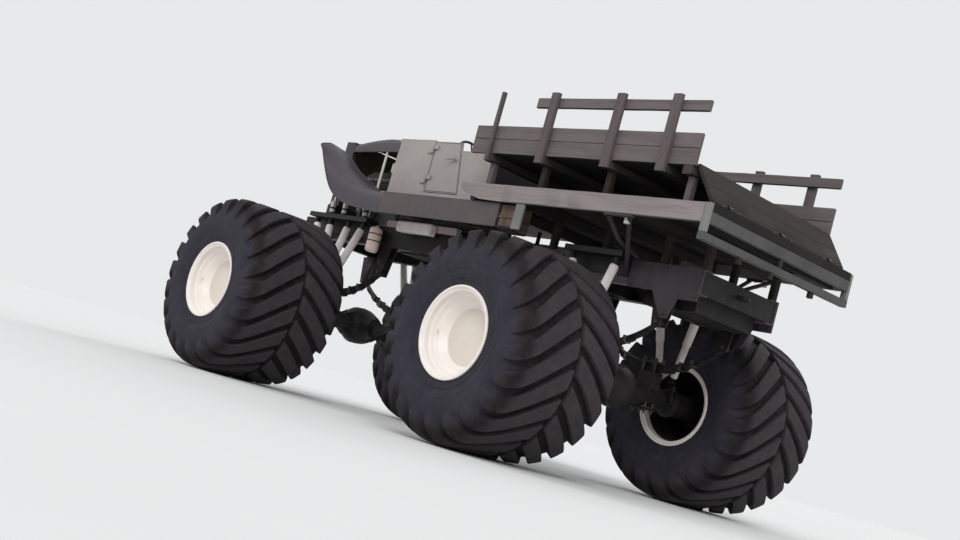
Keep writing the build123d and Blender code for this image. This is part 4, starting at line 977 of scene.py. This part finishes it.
def make_braces():
    """The bent arms from the rails to the sills, with their pads and brackets."""
    arms, lug, bolts = shapes(3)
    upper = ((-375, 974, 2052), (-373, 870, 1975), (-370, 780, 1912), (-358, 600, 1866), (-352, 480, 1836))
    arms.tube(smooth_rows(upper, 6), 18, sides=20)
    arms.tube(((-590, 974, 2060), (-288, 518, 1734)), 18, sides=20)
    arms.block((-420, -335), (450, 500), (RAIL_TOP, 1836), edge=3)
    arms.block((-640, -340), (964, 1000), (2050, SILL_LOW), edge=3)
    arms.mirrored().make("deck_brace_arms", "frame", "deck_braces")
    lug.block((-575, -530), (930, 962), (2005, 2069.5), edge=5, tone=0.5)
    lug.mirrored().make("deck_brace_lugs", "cream")
    for x in (-408, -347):
        bolts.bolt((x, 475, 1836), UP, size=8, height=7)
    for x in (-625, -520, -430, -355):
        bolts.bolt((x, 982, 2050), -UP, size=8, height=7)
    bolts.mirrored().make("deck_brace_bolts", "bolt")


RACK_OUT = DECK_HALF - 45
RACK_IN = RACK_OUT - 32
RACK_LOW, RACK_TOP = 2430, 2500
BOARD_TOP = 2632
STAKES = (-766, -190, 550)


def make_rack():
    boards, stakes, legs, posts = shapes(4)
    side, leg_y, leg_z = (RACK_IN, RACK_OUT), (830, 890), (DECK_TOP, RACK_LOW)
    rear, front, open_front, rear_leg, front_leg = -1066, 1450, 780, -1010, 1200
    boards.plank((rear, front), side, (RACK_TOP, BOARD_TOP), tone=0.55, cuts=26, rough=3, edge=3)
    boards.plank((rear, front), side, (2632.5, 2752), tone=0.9, cuts=26, rough=3, edge=3)
    boards.plank((rear, open_front), side, (2922, 3012), tone=0.7, cuts=20, rough=4)
    boards.mirrored().make("rack_boards", "rack", "rack_sides")
    for x in STAKES:
        stakes.plank(about(x, 45), (RACK_OUT, DECK_HALF), (RACK_LOW, 3045), axis=2, cuts=8, edge=8)
    for x in (rear_leg, front_leg):
        stakes.plank(about(x, 30), leg_y, leg_z, axis=2, tone=1.0, cuts=3)
    stakes.mirrored().make("rack_stakes", "stake", "rack_sides")
    # The middle legs wear the rack floor's dark look: painted shade in the gap under the rack
    for x in STAKES[1:]:
        legs.plank(about(x, 30), leg_y, leg_z, axis=2, tone=0.3, cuts=3)
    legs.mirrored().make("rack_legs", "rack_floor", "rack_sides")
    posts.plank((1180, 1220), (RACK_OUT, RACK_OUT + 40), (RACK_LOW, 3050), axis=2, tone=0.0, cuts=8)
    posts.mirrored().make("rack_front_posts", "stake", "rack_sides")
    beams, floor, heads = shapes(3)
    for x in (rear_leg, *STAKES, front_leg):
        beams.plank(about(x, 45), (-RACK_OUT, RACK_OUT), (RACK_LOW, RACK_TOP), axis=1, cuts=14)
    # The two headboards
    for z in ((RACK_TOP, BOARD_TOP), (2634, 2752)):
        beams.plank((1184, 1216), (-RACK_IN, RACK_IN), z, axis=1, cuts=14)
    beams.make("rack_beams", "rack_beam", "rack_frame")
    # The floor's planks wear a dark look: painted shade seen from below
    half, count, gap, thick = RACK_IN - 0.3, 12, 0.5, 25
    width = 2 * half / count
    for n in range(count):
        right = -half + n * width
        y, z = (right + gap, right + width - gap), (RACK_TOP, RACK_TOP + thick)
        floor.plank((-1055, 1183.7), y, z, cuts=18, rough=2, edge=3)
    floor.make("rack_floor_planks", "rack_floor", "rack_floor")
    for x, z in product(STAKES, (2545, 2700, 2967)):
        heads.bolt((x, DECK_HALF - 3, z), LEFT, size=8, height=6)
    heads.mirrored().make("rack_bolts", "stake")


def make_tail():
    boards, irons, rails, corners, drops = shapes(5)
    foot, top = Vector((HINGE_X, 0, HINGE_Z)), Vector((-1070, 0, 2520))
    along, length = (top - foot).normalized(), (top - foot).length
    turn = Matrix(((along.z, 0, along.x), (0, 1, 0), (-along.x, 0, along.z)))
    half = RACK_IN - 6
    edges = (-half, -728, -672, -28, 28, 672, 728, half)
    # Right end, left end, foot and top of each board, measured in the tail board
    pieces = [(-half, half, 30, 158.5), (-half, half, 159, length)]
    pieces += [(right, left, 0, 30) for right, left in zip(edges[::2], edges[1::2])]
    for right, left, low, high in pieces:
        board = Shape()
        board.plank((-14, 14), (right, left), (low, high), axis=1, cuts=14, rough=1, edge=2)
        boards.place(board, foot, turn, 0.6)
    boards.make("tail_board_planks", "tail_board", "tail_board", body="tail_board")
    irons.tube([(foot.x, -half, foot.z), (foot.x, half, foot.z)], 10, sides=14)
    for y in (-800, -600, -120, 120, 600, 800):
        strap = Shape()
        strap.block((14.5, 18), about(y, 20), (-10, length - 20), edge=1)
        strap.block((-18, 18), about(y, 20), (-14, -2), edge=3)
        for share in (0.18, 0.5, 0.85):
            strap.bolt((18, y, length * share), FORWARD, size=8, height=6)
        irons.place(strap, foot, turn)
    irons.make("tail_board_irons", "black", body="tail_board")
    inner = DECK_HALF - 35.7
    for front, half, z in ((-1290, DECK_HALF, (1940, 2000)), (-1300, inner, (SILL_LOW, 2159.7))):
        rails.plank((DECK_REAR, front), (-half, half), z, axis=1, tone=0.6, cuts=14, rough=2, edge=4)
    rails.make("tail_rails", "tail_rail", "tail_frame")
    for sign in (1, -1):
        corners.block((DECK_REAR, -1290), sided(sign, inner, DECK_HALF), (2000.5, DECK_TOP), edge=3)
    corners.make("tail_corner_posts", "tail_corner", "tail_frame")
    # The drops under the deck's end wear the same dark look: painted shade
    drops.plank((-1349, -1300), (-20, 20), (2000, SILL_LOW), axis=2, tone=0.3, cuts=3)
    for y in (500, 80, -500):
        drops.plank((-1349, -1301), about(y, 20), (1890, 1940), axis=2, tone=0.1, cuts=3)
    drops.make("tail_drops", "deck_beam")


# Cab and front

def make_cab():
    beads, rear, dash, gauges, pedals = shapes(5)
    front, back, side, low = CAB_FRONT - 4, CAB_REAR + 4, CAB_HALF - 4, CAB_FLOOR
    beads.tube([(front, side, low), (front, side, 2694), (2430, side, 2698)], 6, sides=10)
    beads.tube([(back, side, low), (back, side, 2606), (1990, side, 2606)], 6, sides=10)
    beads.tube([(x, CAB_HALF - 2, low - 15) for x in (back + 2, front - 2)], 10, sides=10)
    beads.block((1896, 2410), (576, 597), (2149.5, 2184), edge=3, tone=0.5)
    beads.mirrored().make("cab_beading", "cab")
    # A dark sheet with ribs over the cab's back: painted shade
    rear.block((1476.5, 1479.8), (-585, 585), (2135, 2600), edge=1, tone=0.5)
    for y in (-300, 0, 300):
        rear.block((1472.5, 1477), about(y, 12), (CAB_FLOOR, 2590), edge=2, tone=0.5)
    rear.make("cab_back_shade_sheet", "frame")
    dash.block((2425, 2452), (-560, 560), (2520, 2672), edge=8)
    dash.make("dashboard", "cab")
    for y, r in ((160, 50), (40, 40), (460, 40)):
        profile = ((0, 0), (0, r), (12, r), (16, r - 6), (10, r - 10), (10, 0))
        gauges.lathe(profile, (2426, y, 2600), -FORWARD, sides=28)
    gauges.make("dashboard_gauges", "chrome")
    for y in (180, 280, 420):
        pedals.tube([(2910, y, 2300), (2800, y, 2270), (2740, y, 2200)], 9, sides=10)
        pedals.block((2710, 2750), about(y, 35), (2185, 2200), turn=Matrix.Rotation(radians(-35), 3, "Y"))
    pedals.tube([(2360, 0, CAB_FLOOR), (2330, 0, 2350), (2260, 20, 2560)], 10)
    pedals.lathe(((0, 0), (4, 20), (22, 27), (40, 20), (46, 0)), (2264, 19, 2548), (-0.2, 0, 1), sides=20)
    pedals.make("pedals_and_lever", "black")
    for hand, sign in SIDES:
        make_door_trim(hand, sign)
    make_steering_wheel()
    for cushion in CUSHIONS:
        make_cushion(*cushion)
    base = Shape()
    base.block((1565, 2010), (-535, 535), (CAB_FLOOR, 2182), edge=6)
    for y in (-420, 0, 420):
        base.block((1600, 1980), about(y, 20), (2150.5, 2184))
    base.block((1512, 1530), (-530, 530), (2330, 2630), edge=6)
    base.make("bench_base", "black")


def make_door_trim(hand, sign):
    trim, handle = shapes(2)
    body = f"door_{hand}"
    loop = ((1918, 2200), (2382, 2200), (2402, 2680), (2036, 2680), (1918, 2200))
    trim.tube([(x, sign * (CAB_HALF - 2), z) for x, z in loop], 4, sides=10)
    trim.make(f"door_{hand}_beading", "black", body=body)
    boss = ((0, 0), (0, 20), (6, 20), (10, 12), (30, 10), (30, 0))
    handle.lathe(boss, (2050, sign * CAB_HALF, 2520), LEFT * sign, sides=20)
    grip = ((2050, 630, 2520), (2085, 636, 2520), (2150, 634, 2512))
    handle.tube([(x, sign * y, z) for x, y, z in grip], [10, 9, 7])
    handle.make(f"door_{hand}_handle", "cab", body=body)


def make_steering_wheel():
    wheel = Shape()
    top, foot = Vector((2200, 300, 2620)), Vector((2880, 300, 2240))
    line = (top - foot).normalized()
    foot = foot + line * ((2928 - foot.x) / line.x)
    wheel.tube([foot, top - line * 20], 18, sides=20)
    wheel.lathe(((-100, 20), (-60, 30), (0, 32), (12, 32), (20, 26), (22, 0)), top, line, sides=24)
    across = line.orthogonal().normalized()
    other = line.cross(across)
    ring = [top + line * 10 + across * a + other * b for a, b in circle(48, 182)]
    wheel.tube([*ring, ring[0]], 12.5)
    for a, b in circle(4, 178, pi / 4):
        wheel.tube([top + line * 8, top + line * 10 + across * a + other * b], 7, sides=10)
    wheel.make("steering_wheel_ring", "black", "steering_wheel")


# Name, middle, length along the channels, thickness, whether it stands up, and its lean in degrees
CUSHIONS = (
    ("bench_cushion", (1790, 0, 2255), 455, 150, False, 0),
    ("bench_back", (1575, 0, 2485), 300, 75, True, -14),
)


def make_cushion(name, centre, run, thick, stands, lean):
    """A crowned cushion with sewn channels."""
    width, rolls, steps, wide = 1070, 9, 20, 72
    turn = Matrix.Rotation(radians(lean), 3, "Y")
    shape = Shape()
    for layer in (1, -1):
        rows = []
        for i in range(steps + 1):
            u = i / steps * 2 - 1
            row = []
            for v in (j / wide * 2 - 1 for j in range(wide + 1)):
                roll = 1 - 0.16 * abs(cos(pi * rolls * (v + 1) / 2)) ** 6 if layer > 0 else 1
                high = layer * thick / 2 * max((1 - u ** 8) * (1 - v ** 16), 0) ** 0.35 * roll
                along = u * run / 2 * (1 - 0.02 * (1 - v * v) * abs(u) ** 6)
                p = (high, v * width / 2, along) if stands else (along, v * width / 2, high)
                row.append(Vector(centre) + turn @ Vector(p))
            rows.append(row)
        shape.sheet(rows)
    mesh = shape.mesh(name)
    work = bmesh.new()
    work.from_mesh(mesh)
    bmesh.ops.remove_doubles(work, verts=work.verts, dist=0.0004)
    work.to_mesh(mesh)
    work.free()
    piece = make_piece(name, finished(mesh, "leather", 60), "root", ["bench_seat"])


# Place, half width, and the heights of the lower edge, shoulder and crown
HOOD_ROWS = (
    (2950, 600, 2565, 2700, 2706), (3120, 563, 2572, 2712, 2726), (3300, 522, 2580, 2722, 2744),
    (3520, 480, 2586, 2718, 2742), (3760, 432, 2593, 2706, 2731), (4000, 380, 2600, 2688, 2716),
)


def make_hood():
    """The hood's sheet: rounded shoulders, a crowned top and rolled edges."""
    shape = Shape()
    rows = []
    for x, half, low, shoulder, crown in smooth_rows(HOOD_ROWS, 4):
        fold, start = half - 120, (half, shoulder - 60)
        profile = [(half, low), start, *bend(start, (half, shoulder + 4), (fold, crown), 8)]
        profile += [(fold * (1 - k / 6), crown) for k in range(1, 7)]
        rows.append([(x, y, z) for y, z in profile] + [(x, -y, z) for y, z in profile[-2::-1]])
    shape.sheet(rows)
    shape.sheet([[inward(p, (row[0][0], 0, row[0][2]), 8) for p in row] for row in rows])
    for edge in (rows[0], rows[-1], [row[len(row) // 2] for row in rows]):
        shape.tube(edge, 6, sides=10)
    for end in (0, -1):
        shape.tube([row[end] for row in rows], 8, sides=10)
    shape.make("hood_sheet", "hood", "hood")


def inward(place, middle, depth):
    """A place moved towards a middle."""
    return Vector(place) + (Vector(middle) - Vector(place)).normalized() * depth


def make_front():
    make_hood()
    grille, trim, core, bowls, lenses = shapes(5)
    x, half, low, high, pitch = 4120, 320, 2060, 2620, 25.5
    for n in range(-12, 13):
        grille.tube([(x, n * pitch, low), (x, n * pitch, high)], 4.5, sides=8)
    for z in (2200, 2340, 2480):
        grille.tube([(x - 4, -half, z), (x - 4, half, z)], 4, sides=8)
    grille.make("radiator_grille", "chrome")
    loop = ((-half, low), (half, low), (half, high), (-half, high), (-half, low))
    trim.tube([(x + 28, y, z) for y, z in loop], 9, sides=10)
    cap = ((0, 0), (0, 45), (12, 47), (30, 40), (36, 14), (60, 12), (66, 0))
    trim.lathe(cap, (4080, 0, 2698), UP, sides=28)
    trim.make("radiator_trim", "chrome")
    fins, pitch, thick = 68, 8.1, 2.8
    for z in (2064 + n * pitch for n in range(fins)):
        core.block((4098, 4101.5), (-319, 319), (z, z + thick), edge=0.5, tone=0.5)
    core.make("radiator_fins", "core")
    bowl = ((0, 0), (0, 30), (12, 55), (40, 80), (75, 92), (85, 94.5), (97, 95), (105, 92), (107, 86),
            (102, 83))
    lamp_x, lamp_z, post_x, post_top = 3890, 2330, 3945, 2270
    for y in (465, -465):
        lamp, foot = (lamp_x, y, lamp_z), (post_x, y, RAIL_TOP + 0.5)
        bowls.lathe(bowl, lamp, FORWARD, sides=48)
        lenses.lathe(((100, 85), (105, 60), (108, 30), (109, 0)), lamp, FORWARD, sides=48)
        bowls.tube([foot, (post_x, y, post_top)], [18, 14], sides=20)
        bowls.lathe(((0, 0), (0, 34), (8, 34), (12, 20), (12, 0)), foot, UP, sides=24)
    bowls.make("headlamp_bowls", "chrome", "headlamps")
    lenses.make("headlamp_lenses", "glass")


SKIRT_LOW = 1862
# Place at the outer and at the inner edge, and the heights of the lower edge, shoulder, crown and inner edge
FENDER_ROWS = (
    (2540.3, 2540.3, SKIRT_LOW, 2070, 2070, 2070), (2880, 2960, 1888, 2092, 2112, 2100),
    (3090, 3170, 1915, 2135, 2185, 2178), (3290, 3390, 1980, 2205, 2262, 2272),
    (3450, 3570, 2092, 2282, 2345, 2352), (3600, 3760, 2272, 2385, 2448, 2470),
    (3710, 3910, 2430, 2468, 2532, 2540), (3765, 3985, 2488, 2500, 2556, 2562),
)


def make_fenders():
    inner, crown_y, outer = 550, 780, BODY_OUT
    shape = Shape()
    rows = []
    for outer_x, inner_x, low, shoulder, crown, edge in smooth_rows(FENDER_ROWS, 4):
        drop = min(60, (shoulder - low) * 0.6)
        start = (outer, shoulder - drop)
        profile = [(outer, low), (outer, (low + shoulder - drop) / 2), start]
        profile += bend(start, (outer - 4, shoulder + 10), (crown_y, crown), 8)
        rise = (crown - shoulder) / (outer - crown_y)
        for t in (k / 6 for k in range(1, 7)):
            swell = rise * 0.12 * (crown_y - inner) * t * (1 - t)
            profile.append((crown_y + (inner - crown_y) * t, crown + (edge - crown) * t + swell))
        skew = (inner_x - outer_x) / (outer - inner)
        rows.append([(outer_x + (outer - y) * skew, y, z) for y, z in profile])
    shape.sheet(rows)
    shape.sheet([[inward(p, (row[-1][0], inner, row[0][2] - 50), 6) for p in row] for row in rows])
    for edge in ([row[0] for row in rows], [row[-1] for row in rows], rows[-1]):
        shape.tube(edge, 7, sides=10)
    shape.block((3285, 3315), (575, 600), (1856, 2250), edge=3)
    shape.mirrored().make("fender_sheets", "fender", "fenders")
    boards = Shape()
    boards.block((900, 2540), (640, BODY_OUT), (2056, 2070), edge=5, tone=0.5)
    boards.block((900, 2540), (936, BODY_OUT), (SKIRT_LOW, 2060), edge=5, tone=0.5)
    boards.tube([(905, 943, SKIRT_LOW + 6), (2535, 943, SKIRT_LOW + 6)], 7, sides=10)
    for y in range(690, 900, 50):
        boards.block((950, 2500), about(y, 6), (2069.5, 2073.5), edge=1.5, tone=0.5)
    boards.mirrored().make("running_board_sheets", "apron", "running_boards")


def make_side_bars():
    bars, strips, cans, bands = shapes(4)
    bars.block((2120, 2635), (530, 620), (1774, 1880), edge=14, tone=0.5)
    for x in (2200, 2545):
        bars.block(about(x, 30), (RAIL_SIDE, 531), (1779, RAIL_TOP), edge=4, tone=0.5)
    for x in (2165, 2585):
        bars.bolt((x, 619, 1827), LEFT, size=13, height=8)
    bars.mirrored().make("side_bar_beams", "bar", "side_bars")
    strips.block((1850, 2900), (460, 529), (1820.5, 1886), edge=6, tone=0.5)
    strips.mirrored().make("side_bar_strips", "side_strip")
    x, y, z = 2965, 576, 1535
    can = ((0, 0), (0, 46), (14, 61), (28, 66), (222, 66), (236, 61), (248, 46), (248, 22), (264, 20),
           (264, 0))
    cans.lathe(can, (x, y, z), UP, sides=40)
    for low, high in ((106, 116), (176, 186)):
        bands.lathe(((low, 66), (low, 69), (high, 69), (high, 66)), (x, y, z), UP, sides=40)
        bands.block(about(x, 12), (500.5, 514), (z + low, z + high), edge=2)
    cans.mirrored().make("rail_canisters", "canister")
    bands.mirrored().make("rail_canister_bands", "black")


# The engine's middle, the cylinders of a bank counted from there, and the height of the pipes behind it
ENGINE_X = 3420
CYLINDERS = (-240, -80, 80, 240)
PIPE_Z = 1950


def make_engine():
    covers, heads, logs, pipes = shapes(4)
    for sign in (1, -1):
        tilt = Matrix.Rotation(radians(-sign * 42), 3, "X")
        centre = Vector((ENGINE_X, sign * 215, 2290))
        cover, head = shapes(2)
        cover.block((-300, 300), (-80, 80), (75.5, 125), edge=14)
        for y in range(-54, 55, 18):
            cover.block((-270, 270), about(y, 3), (124, 132), edge=2)
        for x in (-280, 280):
            cover.bolt((x, 0, 125), UP, size=10, height=8)
        for x in CYLINDERS:
            head.lathe(((0, 0), (0, 34), (8, 34), (8, 20), (12, 0)), (x, sign * 95, 0), LEFT * sign, sides=20)
            for dx in (-45, 45):
                head.bolt((x + dx, sign * 95, 0), LEFT * sign, size=7, height=6)
        covers.place(cover, centre, tilt)
        heads.place(head, centre, tilt)
    covers.make("valve_covers", "engine_cover")
    heads.make("exhaust_flanges", "bolt")
    for sign in (1, -1):
        port, log = Vector((0, sign * 285.6, 2226.4)), Vector((0, sign * 330.2, 2186.3))
        for x in CYLINDERS:
            ahead = FORWARD * (ENGINE_X + x)
            logs.tube([ahead + port, ahead + port + (log - port) * 0.5, ahead + log], 24, sides=18)
        logs.tube([(x, log.y, log.z) for x in (3710, 3400, 3200)], 34, sides=24)
        drop = ((3200, log.z), (3140, 2168), (3010, 1972), (2950, 1951), (2700, PIPE_Z), (1560, PIPE_Z))
        route = [(x, log.y, z) for x, z in drop]
        route += [(1490, sign * 345, PIPE_Z), (1370, sign * RAIL_SIDE, PIPE_Z)]
        pipes.tube(smooth_rows(route, 5), 34, sides=24)
        pipes.lathe(((0, 34), (30, 52), (500, 52), (530, 34)), (1900, log.y, PIPE_Z), FORWARD, sides=28)
        pipes.block((1650, 1680), about(log.y, 15), (1980, 2120), edge=2)
    pipes.make("exhaust_pipes", "exhaust_pipe", "exhausts")
    logs.make("exhaust_logs", "exhaust")
    make_hood_posts()
    make_engine_fittings()


def make_hood_posts():
    """The posts that hold the hood up, and the can on its shelf beside them."""
    posts = Shape()
    x, foot = 3200, 1855.5
    first, last = HOOD_ROWS[0], HOOD_ROWS[2]
    share = (x - first[0]) / (last[0] - first[0])
    half, top = [near + share * (far - near) for near, far in zip(first[1:3], last[1:3])]
    y = half - 6
    posts.tube([(x, y, foot), (x, y, top)], 13, sides=16)
    posts.lathe(((0, 0), (0, 24), (6, 24), (10, 14), (10, 0)), (x, y, foot), UP, sides=20)
    posts.mirrored()
    can = ((0, 0), (0, 40), (6, 47), (30, 48), (34, 45), (38, 48), (94, 48), (106, 40), (112, 20), (120, 18),
           (120, 0))
    posts.lathe(can, (3170, 400, 2387), UP)
    posts.block((2950, 3170), (385, 415), (2373, 2387), edge=3)
    posts.make("hood_posts_and_can", "cream", "hood_posts")


def make_engine_fittings():
    belt, fittings, lid = shapes(3)
    # Height, radius and first angle of the belt at the upper and at the lower pulley
    loop = []
    for z, radius, start in ((2160, 71.5, 0), (1930, 86.5, pi)):
        loop += [(3806, a, z + b) for a, b in circle(32, radius, start)[:17]]
    belt.tube([*loop, loop[0]], 5, sides=8, tone=0.3)
    belt.make("fan_belt", "black")
    generator = ((0, 0), (0, 60), (10, 66), (110, 66), (122, 56), (122, 0))
    filter_can = ((0, 0), (0, 48), (8, 52), (110, 52), (120, 44), (120, 0))
    fittings.lathe(generator, (3640, 255, 1990), FORWARD, sides=28)
    fittings.lathe(filter_can, (3250, 215, 1900), (0, 0.6, -1), sides=28)
    fittings.block((3600, 3760), (165, 200), (1950, 2030), edge=6)
    fittings.make("engine_fittings", "engine_cover")
    cleaner = ((0, 0), (0, 151), (6, 155), (12, 151), (12, 140), (62, 140), (62, 151), (68, 155), (78, 146),
               (84, 60), (85, 0))
    lid.lathe(cleaner, (3410, 0, 2425), UP, sides=56)
    lid.lathe(((0, 0), (0, 10), (8, 16), (14, 10), (14, 0)), (3410, 0, 2510), UP, sides=16)
    lid.make("air_cleaner", "chrome")


# Floor, lamps and camera

def make_stage():
    reach = 80
    floor = bpy.data.meshes.new("floor")
    corners = [(x * reach, y * reach, 0) for x, y in ((-1, -1), (1, -1), (1, 1), (-1, 1))]
    floor.from_pydata(corners, [], [(0, 1, 2, 3)])
    look = Look("floor_look", 0.9)
    look.set("Base Color", look.mix(look.noise(0.6, 3), srgb(226, 226, 224), srgb(232, 232, 230)))
    floor.materials.append(look.material)
    plane = add_object("floor", floor)
    make_world()
    for name, place, spread, power in (("key", (-7, 8, 9), 29, 1.29), ("fill", (9, 6, 7), 35, 0.58),
                                       ("far_side", (2, -10, 8), 35, 0.61)):
        data = bpy.data.lights.new(name, "SUN")
        data.angle = radians(spread)
        data.energy = power
        lamp = add_object(name, data)
        lamp.location = place
        lamp.rotation_euler = (Vector((0, 0, 1.2)) - Vector(place)).to_track_quat("-Z", "Y").to_euler()
    bpy.context.scene.view_settings.view_transform = "Standard"


def make_world():
    """A studio that lights the truck softly, and is seen brighter by the camera and in reflections."""
    world = bpy.data.worlds.new("studio")
    bpy.context.scene.world = world
    world.use_nodes = True
    world.node_tree.nodes.clear()
    nodes = Nodes(world.node_tree)
    soft, seen = [nodes.add("ShaderNodeBackground", {0: srgb(*colour), 1: strength}).outputs[0]
                  for colour, strength in (((248, 250, 255), 0.62), ((232, 233, 234), 1.0))]
    rays = nodes.add("ShaderNodeLightPath").outputs
    direct = nodes.calc("MAXIMUM", rays["Is Camera Ray"], rays["Is Glossy Ray"])
    share = nodes.calc("MAXIMUM", direct, rays["Is Transmission Ray"])
    both = nodes.add("ShaderNodeMixShader", {0: share, 1: soft, 2: seen}).outputs[0]
    nodes.add("ShaderNodeOutputWorld", {0: both})


def make_camera():
    azimuth, elevation, roll = radians(228.262), radians(-5.869), radians(15.638)
    back = Vector((sin(azimuth) * cos(elevation), -cos(azimuth) * cos(elevation), sin(elevation)))
    right = (-back).cross(UP).normalized()
    up = right.cross(-back)
    turned_right = right * cos(roll) + up * sin(roll)
    turned_up = -right * sin(roll) + up * cos(roll)
    data = bpy.data.cameras.new("camera")
    # The focal length and the picture's width, both in dots of the picture
    focal, wide = 1297.145, 960
    data.sensor_width = 36
    data.lens = focal / wide * data.sensor_width
    data.clip_end = 300
    camera = add_object("camera", data)
    basis = Matrix((turned_right, turned_up, back)).transposed()
    eye = (-7.2147 + REAR * MM, 8.2069, 0.3519)
    camera.matrix_world = Matrix.Translation(eye) @ basis.to_4x4()
    bpy.context.scene.camera = camera


make_camera()
dress_nodes()
make_wheels()
make_axles()
make_steering()
make_springs()
make_dampers()
make_frame_detail()
make_drive()
make_deck()
make_rack()
make_tail()
make_cab()
make_front()
make_fenders()
make_side_bars()
make_engine()
make_stage()
